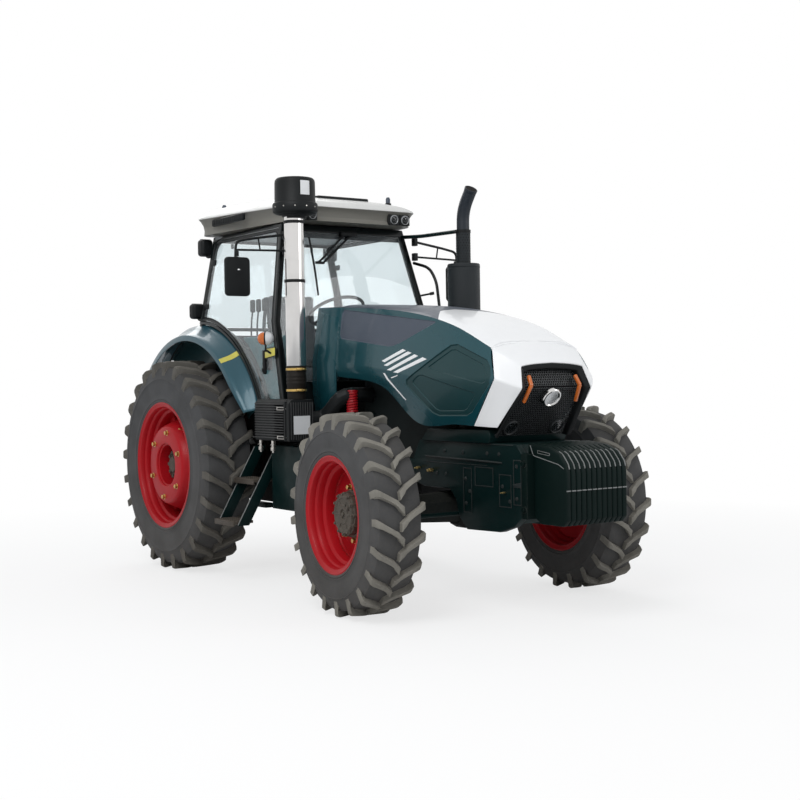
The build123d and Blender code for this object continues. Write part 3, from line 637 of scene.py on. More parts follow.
def lighting():
    """An even pale sky, a large key light and two weaker ones."""
    world = bpy.data.worlds.new("studio")
    bpy.context.scene.world = world
    world.use_nodes = True
    tree = world.node_tree
    soft = tree.nodes["Background"]
    soft.inputs["Color"].default_value = (0.93, 0.96, 1.0, 1)
    soft.inputs["Strength"].default_value = 0.55
    white = put(tree, "Background", {"Color": (1, 1, 1, 1), "Strength": 1.0})
    path = put(tree, "LightPath").outputs
    seen = sums(tree, "MAXIMUM", sums(tree, "MAXIMUM", path["Is Camera Ray"], path["Is Glossy Ray"]),
                path["Is Transmission Ray"])
    blend = put(tree, "MixShader", {0: seen, 1: soft.outputs[0], 2: white.outputs[0]})
    tree.links.new(blend.outputs[0], tree.nodes["World Output"].inputs["Surface"])
    area_light("key_light", (4.5, -6.0, 7.5), (0, 0, 1.2), 5.0, 430)
    area_light("fill_light", (7.5, 5.0, 4.0), (0.5, 0, 1.2), 4.0, 130)
    area_light("back_light", (-6.5, 1.5, 6.5), (-0.5, 0, 1.5), 5.0, 190)


bpy.context.scene.view_settings.view_transform = "Standard"
camera()
floor()
lighting()


# ---------------------------------------------------------------- wheels
REAR = dict(tip=0.842, half=0.215, lugs=24, lug=0.040, flange=0.508, rim_half=0.205)
FRONT = dict(tip=0.650, half=0.172, lugs=21, lug=0.036, flange=0.381, rim_half=0.165)
WHEELBASE, REAR_HALF_TRACK, FRONT_HALF_TRACK, KINGPIN_Y = 2.750, 0.820, 0.930, 0.700
STEER = Matrix.Rotation(radians(-5.0), 4, "Z")      # the front wheels stand a little to the right at rest


def wheel_place(front, side):
    """From a wheel built about the origin with its outer face towards +Y to where it stands."""
    flip = Matrix.Identity(4) if side > 0 else MIRROR
    if not front:
        return Matrix.Translation((0, side * REAR_HALF_TRACK, REAR["tip"])) @ flip
    pivot = Matrix.Translation((WHEELBASE, side * KINGPIN_Y, 0))
    straight = Matrix.Translation((WHEELBASE, side * FRONT_HALF_TRACK, FRONT["tip"]))
    return pivot @ STEER @ pivot.inverted() @ straight @ flip


def between(stops, t):
    """A value read off a row of (t, value) stops."""
    for (t0, a), (t1, b) in zip(stops, stops[1:]):
        if t <= t1:
            return a + (b - a) * (t - t0) / (t1 - t0)
    return stops[-1][1]


def lug_bar(w):
    """One curved tread bar at the top of the tyre, from a broad foot past the middle to over the shoulder."""
    half, tip, crown = w["half"], w["tip"], w["tip"] - w["lug"]
    run = half * 0.80
    shape = bmesh.new()
    bmesh.ops.create_cube(shape, size=1.0, matrix=Matrix.Translation((0.5, 0, 0.5)))
    for i in range(1, 14):
        bmesh.ops.bisect_plane(shape, geom=all_of(shape), plane_co=(i / 14, 0, 0), plane_no=(1, 0, 0))
    ease(shape, 0.10, 2, edges=[e for e in shape.edges if all(v.co.z > 0.99 for v in e.verts)
                                and len(e.link_faces) == 2 and e.calc_face_angle(0) > 0.5])
    width = [(0, 0.30), (0.10, 0.27), (0.35, 0.20), (0.7, 0.21), (0.86, 0.27), (1, 0.30)]
    top = [(0, tip), (0.74, tip - 0.002), (0.84, tip - 0.010), (0.93, tip - 0.036), (1, crown - 0.085)]
    base = [(0, crown - 0.02), (0.8, crown - 0.03), (1, crown - 0.11)]
    across = [(0, -0.06), (0.84, 0.930), (0.93, 0.950), (1, 0.975)]
    for v in shape.verts:
        a, b, c = v.co
        wide = half * between(width, a) * (1.18 - 0.18 * c)
        radius = between(base, a) + (between(top, a) - between(base, a)) * c
        y = half * (between(across, a) - (1 - c) * (0.02 + 0.10 * max(a - 0.84, 0) / 0.16))
        along = run * (0.5 - min(a, 0.9) ** 0.78 * 0.92) + b * wide + (0.012 * (1 - a) if a < 0.2 else 0)
        turn = along / tip
        v.co = (radius * sin(turn), y, radius * cos(turn))
    bmesh.ops.recalc_face_normals(shape, faces=shape.faces)
    return shape


def carcass(w):
    """The tyre without its bars: bead, bulging wall with fine rings, shoulder and crown."""
    crown, half, f, h = w["tip"] - w["lug"], w["half"], w["flange"], w["rim_half"]
    tall = crown - f
    outer = [(f - 0.030, h - 0.014), (f - 0.006, h - 0.006), (f + 0.004, h + 0.004), (f + 0.013, h + 0.006),
             (f + 0.016, h + 0.002), (f + 0.022, h + 0.002), (f + 0.025, h + 0.006), (f + 0.030, h + 0.005),
             (f + 0.036, h + 0.002), (f + 0.22 * tall, half - 0.006), (f + 0.34 * tall, half - 0.001),
             (f + 0.50 * tall, half), (f + 0.62 * tall, half - 0.002), (f + 0.635 * tall, half + 0.001),
             (f + 0.65 * tall, half - 0.003), (f + 0.78 * tall, half - 0.010),
             (f + 0.88 * tall, half - 0.022), (f + 0.95 * tall, half * 0.83), (f + 0.985 * tall, half * 0.66),
             (crown, half * 0.35), (crown + 0.002, 0.0)]
    return turned(outer + [(r, -y) for r, y in outer[-2::-1]], w["lugs"] * 6)


def tyre(w, place):
    """A carcass with its two staggered rows of bars."""
    count, bar = w["lugs"], lug_bar(w)
    far_bar = moved(bar.copy(), MIRROR)
    bars = together(repeated(bar, around(count, 180.0 / count)), repeated(far_bar, around(count)))
    return moved(together(painted(carcass(w), 0), painted(bars, 1)), place)


def rim_shell(w):
    """Rolled flanges, stepped seats and well of a rim, as one wall."""
    f, h = w["flange"], w["rim_half"]
    face = [(f - 0.006, h - 0.010), (f, h - 0.006), (f - 0.001, h), (f - 0.008, h + 0.002),
            (f - 0.014, h - 0.003), (f - 0.036, h - 0.008), (f - 0.041, h - 0.016), (f - 0.044, h - 0.046),
            (f - 0.052, h - 0.054), (f - 0.056, h - 0.060), (f - 0.058, h - 0.098), (f - 0.076, h - 0.112),
            (f - 0.080, h - 0.125), (f - 0.083, h - 0.170)]
    profile = face + [(r, -y) for r, y in reversed(face)]
    back = [(r + 0.009 if i > 3 else r + 0.001, y - (0.004 if i < 5 else 0.0)) for i,
            (r, y) in enumerate(face)]
    back = [(min(r, f - 0.012) if i > 3 else r - 0.004, y) for i, (r, y) in enumerate(back)][5:]
    return turned(profile + [(r, -y) for r, y in back] + [(r, y) for r, y in reversed(back)], 96)


def rear_rim():
    """The rear wheel's centre: a disc dished outwards with a flat band of bolts round a wide hole."""
    f, h = REAR["flange"], REAR["rim_half"]
    dish = turned([(f - 0.078, -0.030), (f - 0.100, -0.024), (f - 0.125, 0.012), (0.318, h - 0.046),
                   (0.306, h - 0.030), (0.292, h - 0.024), (0.182, h - 0.024), (0.174, h - 0.030),
                   (0.170, h - 0.045), (0.168, 0.010), (0.158, 0.012), (0.160, h - 0.045), (0.166, h - 0.040),
                   (0.290, h - 0.036), (0.308, h - 0.052), (f - 0.137, -0.002), (f - 0.104, -0.036),
                   (f - 0.078, -0.040)], 96)
    pad = cuboid((-0.045, -0.034, f - 0.150), (0.045, 0.022, f - 0.080), 0.008)
    pads = repeated(pad, around(6, 30))
    weld = turned([(f - 0.080, -0.026), (f - 0.088, -0.016), (f - 0.084, -0.008), (f - 0.076, -0.010)], 96)
    red = painted(together(rim_shell(REAR), dish, pads, weld), 0)
    gold = painted(bolt_circle(0.262, h - 0.025, 6, 22, 0.030, 0.022), 1)
    hub = together(turned([(0.0, 0.130), (0.046, 0.130), (0.060, 0.124), (0.066, 0.098), (0.120, 0.092),
                           (0.134, 0.082), (0.140, -0.060), (0.140, -0.075), (0.0, -0.075)], 48),
                   repeated(drum((0.134, 0.02, 0), (0.134, 0.086, 0), 0.017, 12), around(10)))
    nuts = bolt_circle(0.100, 0.093, 10, 0, 0.026, 0.018)
    valve = drum((0.30, 0.16, 0.29), (0.30, 0.198, 0.30), 0.006, 12)
    return together(red, gold, painted(together(hub, nuts), 2), painted(valve, 1))


def front_rim():
    """The front wheel's centre: a flat disc deep inside with the planetary hub standing out of it."""
    f, h = FRONT["flange"], FRONT["rim_half"]
    disc = turned([(f - 0.081, -0.034), (f - 0.081, -0.020), (f - 0.100, -0.012), (0.225, -0.006),
                   (0.200, 0.006), (0.192, 0.010), (0.100, 0.010), (0.100, -0.004), (0.190, -0.006),
                   (0.222, -0.020), (f - 0.104, -0.026)], 84)
    weld = turned([(f - 0.083, -0.022), (f - 0.092, -0.014), (f - 0.087, -0.005), (f - 0.079, -0.008)], 84)
    red = painted(together(rim_shell(FRONT), disc, weld), 0)
    face = h - 0.080
    drum_body = turned([(0.0, face - 0.010), (0.030, face - 0.010), (0.034, face), (0.060, face),
                        (0.064, face - 0.004), (0.100, face - 0.004), (0.104, face), (0.120, face),
                        (0.127, face - 0.006), (0.130, face - 0.016), (0.139, face - 0.020), (0.139, 0.030),
                        (0.150, 0.026), (0.155, 0.014), (0.155, 0.0), (0.0, 0.0)], 64)
    lobes = repeated(drum((0.129, 0.03, 0), (0.129, face - 0.006, 0), 0.014, 12), around(12))
    heads = bolt_circle(0.128, face - 0.006, 12, 0, 0.016, 0.012)
    ribs = repeated(cuboid((0.040, face - 0.006, -0.004), (0.098, face + 0.001, 0.004), 0.002), around(6))
    plug = bolts([(Vector((0.075, face - 0.004, 0.045)), (0, 1, 0)), (Vector((0, face - 0.010, 0)),
                                                                      (0, 1, 0))], 0.026, 0.014)
    hub = painted(together(drum_body, lobes, heads, ribs, plug), 2)
    return together(red, painted(bolt_circle(0.172, 0.010, 8, 10, 0.028, 0.026), 1), hub)


for side, name in ((1, "left"), (-1, "right")):
    for end, spec, centre in (("rear", REAR, rear_rim), ("front", FRONT, front_rim)):
        place, body = wheel_place(end == "front", side), f"{end}_wheel_{name}"
        tyre_node, rim_node = f"{end}_tyre_{name}", f"{end}_rim_{name}"
        rubber = [WALL, PALE_TREAD if end == "front" else TREAD]
        piece(f"{end}_tread_{name}", tyre(spec, place), rubber, body, tyre_node, 38)
        disc = moved(centre(), place)
        piece(f"{end}_wheel_disc_{name}", disc, [RED, ZINC, HUB], body, rim_node)


# ---------------------------------------------------------------- bonnet
# rows from the rear to the front; columns: crown (x, z), then crease, belt and sill as (x, y, z)
BONNET = [
    ((1.704, 2.062), (1.704, 0.364, 2.036), (1.704, 0.420, 1.640), (1.704, 0.408, 1.535)),
    ((2.280, 2.024), (2.280, 0.366, 1.992), (2.280, 0.436, 1.590), (2.280, 0.412, 1.465)),
    ((2.720, 1.960), (2.720, 0.366, 1.932), (2.720, 0.442, 1.530), (2.700, 0.396, 1.215)),
    ((3.090, 1.870), (3.090, 0.362, 1.840), (3.110, 0.436, 1.500), (3.080, 0.376, 1.212)),
    ((3.430, 1.738), (3.430, 0.348, 1.694), (3.524, 0.406, 1.502), (3.262, 0.366, 1.205)),
]
WALL_THICK = 0.006
BELT_SHARE = 0.56                            # how far down a side panel its belt line runs


def along(values, u):
    """A smooth run through evenly numbered values, read at u."""
    i = min(int(u), len(values) - 2)
    t = u - i
    a, b = values[i], values[i + 1]
    before = values[i - 1] if i > 0 else a * 2 - b
    after = values[i + 2] if i + 2 < len(values) else b * 2 - a
    linear = (b - before) * (0.5 * t)
    square = (before * 2 - a * 5 + b * 4 - after) * (0.5 * t * t)
    cube = (a * 3 - before - b * 3 + after) * (0.5 * t ** 3)
    return a + linear + square + cube


CROWN = [Vector((row[0][0], 0, row[0][1])) for row in BONNET]
CREASE, BELT, SILL = ([Vector(row[i]) for row in BONNET] for i in (1, 2, 3))
ROWS = len(BONNET) - 1


def side_spot(u, v):
    """A point of the left side panel: u from the rear to the front, v from the crease down to the sill."""
    top, middle, low = along(CREASE, u), along(BELT, u), along(SILL, u)
    if v < BELT_SHARE:
        t = v / BELT_SHARE
        spot = top.lerp(middle, t)
        spot.y += 0.012 * sin(pi * t) * (1 - t * 0.4)
    else:
        t = (v - BELT_SHARE) / (1 - BELT_SHARE)
        spot = middle.lerp(low, t)
        spot.y += 0.006 * sin(pi * t)
    return spot


def depth_inside(outline, x, z):
    """How far a point lies inside an outline that bulges everywhere; below zero outside."""
    turn = sum(ax * bz - bx * az for (ax, az), (bx, bz) in zip(outline, outline[1:] + outline[:1]))
    nearest = 1e9
    for (ax, az), (bx, bz) in zip(outline, outline[1:] + outline[:1]):
        run = sqrt((bx - ax) ** 2 + (bz - az) ** 2)
        nearest = min(nearest, ((bx - ax) * (z - az) - (bz - az) * (x - ax)) / run * (1 if turn > 0 else -1))
    return nearest


def cut_outline(shape, outline):
    """Cuts a side panel along an outline of (x, z) points."""
    for (ax, az), (bx, bz) in zip(outline, outline[1:] + outline[:1]):
        low_x, high_x = min(ax, bx) - 0.02, max(ax, bx) + 0.02
        low_z, high_z = min(az, bz) - 0.02, max(az, bz) + 0.02
        near = [f for f in shape.faces if min(v.co.x for v in f.verts) < high_x
                and max(v.co.x for v in f.verts) > low_x and min(v.co.z for v in f.verts) < high_z
                and max(v.co.z for v in f.verts) > low_z]
        geom = list({g for f in near for g in (*f.verts, *f.edges)}) + near
        bmesh.ops.bisect_plane(shape, geom=geom, plane_co=(ax, 0, az), plane_no=(-(bz - az), 0, bx - ax))


def shrunk(outline, gap):
    """An outline that bulges everywhere, drawn in by a gap all round."""
    cx, cz = (sum(p[i] for p in outline) / len(outline) for i in (0, 1))
    lines = []
    for (ax, az), (bx, bz) in zip(outline, outline[1:] + outline[:1]):
        nx, nz = -(bz - az), bx - ax
        size = sqrt(nx * nx + nz * nz)
        nx, nz = nx / size, nz / size
        if (cx - ax) * nx + (cz - az) * nz < 0:
            nx, nz = -nx, -nz
        lines.append((nx, nz, nx * ax + nz * az + gap))
    corners = []
    for (a, b, c), (d, e, f) in zip(lines[-1:] + lines[:-1], lines):
        det = a * e - b * d
        corners.append(((c * e - b * f) / det, (a * f - c * d) / det))
    return corners


def chamfered(outline, cut_back):
    """An outline whose corners are cut off."""
    points = []
    for (px, pz), (x, z), (nx, nz) in zip(outline[-1:] + outline[:-1], outline, outline[1:] + outline[:1]):
        for qx, qz in ((px, pz), (nx, nz)):
            far = sqrt((qx - x) ** 2 + (qz - z) ** 2)
            points.append((x + (qx - x) * cut_back / far, z + (qz - z) * cut_back / far))
    return points


HEXAGON = [(2.590, 1.487), (3.110, 1.738), (3.468, 1.607), (3.500, 1.487), (3.250, 1.268), (2.905, 1.262)]
UPPER_POCKET = [(2.830, 1.575), (3.105, 1.705), (3.420, 1.590), (3.455, 1.498), (3.420, 1.462)]
LOWER_POCKET = [(2.665, 1.488), (2.775, 1.545), (3.350, 1.415), (3.215, 1.295), (2.930, 1.290)]
COLOUR_JOINT = [(0, 2.600), (0.20, 2.700), (0.37, 2.905), (0.5, 3.0)]      # between grey and white, (y, x)
GREY_PANEL = [(1.730, 2.020), (1.745, 1.806), (2.420, 1.728), (2.550, 1.757), (2.900, 1.880)]


def pressed(shape, outline, depth, wall, index=None):
    """Presses an outlined field of a side panel in, with a sloping wall of some width."""
    cut_outline(shape, outline)
    cut_outline(shape, shrunk(outline, wall))
    for v in shape.verts:
        v.co.y -= depth * min(max(depth_inside(outline, v.co.x, v.co.z) / wall, 0), 1)
    for f in shape.faces if index is not None else ():
        spot = f.calc_center_median()
        if depth_inside(outline, spot.x, spot.z) > 0:
            f.material_index = index


def side_panel():
    """The left side: teal skin with a bare grey field and the six-cornered vent with its two pockets."""
    shape = grid(96, 40, lambda a, b: side_spot(a * ROWS, 1 - b))
    pressed(shape, chamfered(HEXAGON, 0.035), 0.007, 0.008, 1)
    pressed(shape, chamfered(shrunk(UPPER_POCKET, 0.004), 0.022), 0.005, 0.006, 1)
    pressed(shape, chamfered(shrunk(LOWER_POCKET, 0.004), 0.022), 0.005, 0.006, 1)
    pressed(shape, chamfered(GREY_PANEL, 0.025), 0.004, 0.006, 2)
    return solid(faced(shape, 1), WALL_THICK)


def crown_drop(reach):
    """How much of the crown's height is lost at a share of the way out to the crease."""
    return 0.18 * reach ** 2 + 0.82 * reach ** 6


def top_spot(a, b):
    """A point of the bonnet's top at shares of its length and of its width."""
    crown, crease, w = along(CROWN, a * ROWS), along(CREASE, a * ROWS), b * 2 - 1
    reach = abs(w)
    drop = (crown.z - crease.z) * crown_drop(reach)
    return (crown.x + (crease.x - crown.x) * reach, crease.y * w, crown.z - drop)


def top_panel():
    """The bonnet's top, rolled over at its creases; grey behind and white ahead of a slanting joint."""
    shape = grid(72, 48, top_spot)
    for (y0, x0), (y1, x1) in zip(COLOUR_JOINT, COLOUR_JOINT[1:3]):
        for s in (1, -1):
            near = [f for f in shape.faces if y0 - 0.03 < s * f.calc_center_median().y < y1 + 0.03
                    and 2.45 < f.calc_center_median().x < 3.05]
            geom = list({g for f in near for g in (*f.verts, *f.edges)}) + near
            bmesh.ops.bisect_plane(shape, geom=geom, plane_co=(x0, s * y0, 0),
                                   plane_no=(-(y1 - y0), s * (x1 - x0), 0))
    for f in shape.faces:
        spot = f.calc_center_median()
        f.material_index = 1 if spot.x < between(COLOUR_JOINT, abs(spot.y)) else 0
    return solid(faced(shape, 2), WALL_THICK)


def patch(outline, lift):
    """A thin film that follows the side panel, from a four-cornered outline of (x, z) points."""
    a, b, c, d = (Vector((x, 0, z)) for x, z in outline)

    def place(t, s):
        spot = a.lerp(b, s).lerp(d.lerp(c, s), t)
        return on_side(spot.x, spot.z, lift)
    return grid(10, 2, place)


def on_side(x, z, lift=0.0):
    """The left side panel's point at an x and a z."""
    v = 0.5
    for _ in range(4):
        low, high = 0.0, float(ROWS)
        for _ in range(16):
            u = (low + high) / 2
            low, high = (u, high) if side_spot(u, v).x < x else (low, u)
        low, high = 0.0, 1.0
        for _ in range(16):
            v = (low + high) / 2
            low, high = (v, high) if side_spot(u, v).z > z else (low, v)
    return Vector((x, side_spot(u, v).y + lift, z))


# upper rear, upper front, lower front and lower rear corners of the side's white marks, as (x, z)
STRIPES = [[(2.567, 1.710), (2.607, 1.698), (2.364, 1.625), (2.326, 1.634)],
           [(2.630, 1.692), (2.674, 1.681), (2.400, 1.598), (2.356, 1.604)],
           [(2.708, 1.671), (2.751, 1.659), (2.447, 1.566), (2.399, 1.572)],
           [(2.803, 1.649), (2.850, 1.636), (2.536, 1.549), (2.475, 1.555)],
           [(2.529, 1.536), (2.528, 1.530), (2.456, 1.514), (2.441, 1.519)],
           [(2.350, 1.551), (2.370, 1.551), (2.411, 1.509), (2.391, 1.505)],
           [(2.391, 1.505), (2.411, 1.509), (2.602, 1.369), (2.592, 1.366)]]


def stripes():
    """Four slanting white stripes, a short tick and a thin cranked line below them."""
    return together(*(patch([a, b, c, d], 0.0015) for a, b, c, d in STRIPES))


left_panel = side_panel()
skins = [TEAL, TEAL_DEEP, PANEL_GREY]
piece("bonnet_side_left", left_panel.copy(), skins, "hood", "hood_side_left", 24)
piece("bonnet_side_right", moved(left_panel, MIRROR), skins, "hood", "hood_side_right", 24)
piece("bonnet_top", top_panel(), [WHITE, PANEL_GREY], "hood", "hood_top", 24)
piece("bonnet_stripes", both_sides(solid(stripes(), -0.0012)), WHITE, "hood")


# the mask's band from its left tip over the top to the right tip; columns: outer edge, inner edge
MASK = [((3.268, 0.366, 1.205), (3.440, 0.318, 1.196)), ((3.530, 0.406, 1.502), (3.650, 0.286, 1.440)),
        ((3.436, 0.346, 1.694), (3.604, 0.256, 1.577)), ((3.436, 0.0, 1.738), (3.600, 0.0, 1.600))]
# the black surround inside it, over the same stations; columns: outer edge, face's inner edge, back edge
SURROUND = [((3.416, 0.312, 1.132), (3.406, 0.282, 1.128), (3.366, 0.276, 1.136)),
            ((3.645, 0.281, 1.441), (3.634, 0.246, 1.441), (3.590, 0.240, 1.440)),
            ((3.600, 0.251, 1.572), (3.590, 0.220, 1.543), (3.546, 0.216, 1.540)),
            ((3.597, 0.0, 1.595), (3.588, 0.0, 1.562), (3.544, 0.0, 1.558))]
# the mesh's side view, x and z
MESH_FOLD, MESH_TOP, MESH_FOOT = (3.590, 1.440), (3.545, 1.556), (3.366, 1.136)


def band(stations, arch_rise):
    """A strip across the machine from its left half's stations, with straight arms and an arched top."""
    steps, rails, rows = 10, len(stations[0]), []
    for i, (a, b) in enumerate(zip(stations, stations[1:])):
        for k in range(steps):
            t = k / steps
            row = [Vector(p).lerp(Vector(q), t) for p, q in zip(a, b)]
            if i == len(stations) - 2:
                rise = (1 - (1 - t) ** 4) - t
                for p, q, r in zip(a, b, row):
                    r.z += (q[2] - p[2]) * rise * arch_rise
            rows.append(row)
    rows.append([Vector(p) for p in stations[-1]])
    rows += [[Vector((p.x, -p.y, p.z)) for p in row] for row in rows[-2::-1]]
    last = len(rows) - 1
    return faced(grid(last, rails - 1, lambda a, b: rows[round(a * last)][round(b * (rails - 1))]), 0)


def mask():
    """The white band round the grille, crisp at its folds."""
    fine = []
    for outer, inner in MASK:
        outer, inner = Vector(outer), Vector(inner)
        out = Vector((0.55, 0.0, 0.84)) if outer.y < 0.01 or outer.z > 1.6 else Vector((0.4, 0.9, 0.0))
        fine.append([outer.lerp(inner, t) + out * (0.007 * sin(pi * t)) for t in (0, 0.25, 0.5, 0.75, 1)])
    shape = band(fine, 0.55)
    return ease(solid(ease(shape, 0.016, 4, 16), 0.010), 0.003, 2, 60)


def surround():
    """The black rim between the white band and the mesh."""
    return ease(solid(ease(band(SURROUND, 0.5), 0.007, 3, 20), 0.006), 0.0015, 1, 60)


def honeycomb(start, end, half_start, half_end):
    """A sheet of six-sided holes between two levels of the front, each given as x and z."""
    pitch, bar, deep = 0.0185, 0.0042, 0.006
    start, end = Vector((start[0], 0, start[1])), Vector((end[0], 0, end[1]))
    run = end - start
    down, out = run.normalized(), Vector((0, 1, 0)).cross(run).normalized()
    if out.x < 0:
        out = -out
    cell = bmesh.new()
    bmesh.ops.create_circle(cell, cap_ends=True, segments=6, radius=pitch / sqrt(3) + 0.0002)
    bmesh.ops.inset_individual(cell, faces=cell.faces[:], thickness=bar / 2, depth=0.0)
    bmesh.ops.delete(cell, geom=[f for f in cell.faces if len(f.verts) == 6], context="FACES")
    solid(cell, deep)
    level = pitch * 0.866
    rows = []
    for k in range(int(run.length / level)):
        half = half_start + (half_end - half_start) * (k + 0.5) * level / run.length
        count = int(half / pitch)
        shift = pitch / 2 if k % 2 else 0.0
        line = [Matrix.Translation(((i * pitch + shift), 0, 0)) for i in range(-count,
                                                                               count + (0 if k % 2 else 1))]
        rows.append(moved(repeated(cell.copy(), line), Matrix.Translation(start + down * (k + 0.5) * level) @
                          Matrix((Vector((0, 1, 0)), -down, -out)).transposed().to_4x4()))
    cell.free()
    return together(*rows)


def tilted_bar(start, end, width, deep, soft=0.004):
    """A flat bar from one point to another, its broad face forwards."""
    start, end = Vector(start), Vector(end)
    run = end - start
    face = Vector((0, 1, 0)).cross(run).normalized()
    side = run.cross(face).normalized()
    place = Matrix.Translation((start + end) / 2) @ Matrix((side, run.normalized(),
                                                            face)).transposed().to_4x4()
    return moved(cuboid((-width / 2, -run.length / 2, -deep / 2), (width / 2, run.length / 2, deep / 2), soft,
                        3), place)


LEAN = Vector((0.805, 0, -0.594))            # the way the grille's lower part faces


def front_lamp(y):
    """A round lamp let into the mesh: ring, bowl and bulb holder."""
    place = facing((3.412, y, 1.196), LEAN) @ UPRIGHT
    ring = turned([(0.047, 0.0), (0.047, 0.014), (0.049, 0.017), (0.052, 0.017), (0.054, 0.014),
                   (0.054, 0.0)], 48)
    bowl = turned([(0.0, -0.030), (0.012, -0.030), (0.032, -0.018), (0.046, 0.004), (0.048, 0.004),
                   (0.034, -0.022), (0.012, -0.034), (0.0, -0.034)], 40)
    holder = drum((0, -0.030, 0), (0, -0.006, 0), 0.010, 20)
    glass = turned([(0.0, 0.014), (0.020, 0.014), (0.036, 0.011), (0.046, 0.007), (0.046, 0.004),
                    (0.036, 0.008), (0.020, 0.011), (0.0, 0.011)], 40)
    metal = together(painted(ring, 0), painted(together(bowl, holder), 1), painted(glass, 2))
    return moved(metal, place)


def badge():
    """A bare round badge: a polished rim round a plain dished face."""
    place = facing((3.580, 0, 1.384), LEAN) @ UPRIGHT
    rim = turned([(0.052, 0.0), (0.052, 0.018), (0.056, 0.023), (0.064, 0.022), (0.068, 0.016), (0.068, 0.0)],
                 56)
    face = turned([(0.0, 0.010), (0.030, 0.011), (0.053, 0.014), (0.053, 0.004), (0.0, 0.002)], 56)
    return moved(together(painted(rim, 0), painted(face, 1)), place)


def markers():
    """Cranked amber marker lamps beside the mesh."""
    upper = tilted_bar((3.597, 0.190, 1.518), (3.634, 0.199, 1.452), 0.024, 0.022, 0.007)
    lower = tilted_bar((3.634, 0.199, 1.458), (3.572, 0.214, 1.350), 0.022, 0.022, 0.007)
    return both_sides(together(upper, lower))


piece("front_mask", mask(), WHITE, "hood", "hood_nose", 24)
piece("grille_surround", surround(), PLASTIC, "hood", (), 30)
mesh_sheet = together(honeycomb(MESH_TOP, MESH_FOLD, 0.222, 0.246), honeycomb(MESH_FOLD, MESH_FOOT, 0.246,
                                                                              0.282))
piece("grille_mesh", mesh_sheet, MESH_WIRE, "hood", "grille", 30)
# a near-black sheet just behind the mesh: painted shade for the dark inside of the grille
backing = [(3.520, 1.550), (3.562, 1.440), (3.345, 1.150), (3.335, 1.156), (3.546, 1.440), (3.505, 1.552)]
piece("grille_shade_sheet", slab(backing, "y", -0.226, 0.226, 0.002), FLOOR_MAT, "hood")
piece("front_lamps", together(front_lamp(0.190), front_lamp(-0.190)), [MESH_WIRE, PLASTIC, LENS], "hood")
piece("bare_badge", badge(), [CHROME, SILVER], "hood")
piece("marker_lamps", markers(), AMBER, "hood")

joint_half, joint_z, joint_fall = CREASE[-1].y, CROWN[-1].z, CROWN[-1].z - CREASE[-1].z
joint = [(3.434, joint_half * k / 24, joint_z - joint_fall * crown_drop(abs(k) / 24) - 0.0115)
         for k in range(-24, 25)]
piece("bonnet_joint", tube(joint, 0.009, 0, 10), WHITE, "hood")


# ---------------------------------------------------------------- cab
WAIST = 1.950                                # the cab leans in above this level
CAB_HALF, LEAN_IN = 0.700, 0.20
SCREEN_DEPTH = 0.020


def front_edge(z):
    """How far forward the cab reaches at a level."""
    return 1.305 + (2.000 - z) * 0.19


def flank(z):
    """How far out the cab's side is at a level."""
    return CAB_HALF - max(z - WAIST, 0) * LEAN_IN


def on_screen(y, z, lift=0.0):
    """A point on the windscreen's outside."""
    return Vector((front_edge(z) - SCREEN_DEPTH + lift, y, z))


def eased_loop(outline, bends, steps=5):
    """A closed outline whose corners are rounded, each by its own amount."""
    points = [Vector(p) for p in outline]
    loop = []
    for i, bend in enumerate(bends):
        before, corner, after = points[i - 1], points[i], points[(i + 1) % len(points)]
        if not bend:
            loop.append(tuple(corner))
            continue
        a, b = corner + (before - corner).normalized() * bend, corner + (after - corner).normalized() * bend
        loop += [tuple(a * (1 - t) ** 2 + corner * (2 * t * (1 - t)) + b * t ** 2)
                 for t in (k / steps for k in range(steps + 1))]
    return loop


def drawn_in(outline, gap):
    """An outline moved inwards by a gap, with hollows in it allowed."""
    area = sum(a[0] * b[1] - b[0] * a[1] for a, b in zip(outline, outline[1:] + outline[:1]))
    turn = 1 if area > 0 else -1
    corners = []
    for i, spot in enumerate(outline):
        before, after = Vector(outline[i - 1]), Vector(outline[(i + 1) % len(outline)])
        here = Vector(spot)
        a, b = (here - before).normalized(), (after - here).normalized()
        a, b = Vector((-a.y, a.x)) * turn, Vector((-b.y, b.x)) * turn
        middle = (a + b).normalized()
        corners.append(tuple(here + middle * (gap / max(middle.dot(a), 0.3))))
    return corners


def framed(outer, inner, axis, low, high, soft=0.004, steps=2):
    """A flat frame between two outlines with as many corners as each other."""
    across = ACROSS[axis]
    shape = bmesh.new()
    far, near = ([shape.verts.new(across(a, b, low)) for a, b in loop] for loop in (outer, inner))
    corners = zip(far, far[1:] + far[:1], near[1:] + near[:1], near)
    faces = [shape.faces.new(four) for four in corners]
    return ease(thickened(shape, faces, across(0, 0, high - low)), soft, steps, 50)


def side_wall(shape, side):
    """Stands a flat side, its outer face at y 0, on the cab's flank, which leans in above the waist."""
    crossing = [e for e in shape.edges if (e.verts[0].co.z - WAIST) * (e.verts[1].co.z - WAIST) < 0]
    if crossing:
        bmesh.ops.bisect_plane(shape, geom=all_of(shape), plane_co=(0, 0, WAIST), plane_no=(0, 0, 1))
    for v in shape.verts:
        v.co.y = side * (flank(v.co.z) + v.co.y)
    bmesh.ops.recalc_face_normals(shape, faces=shape.faces)
    return shape


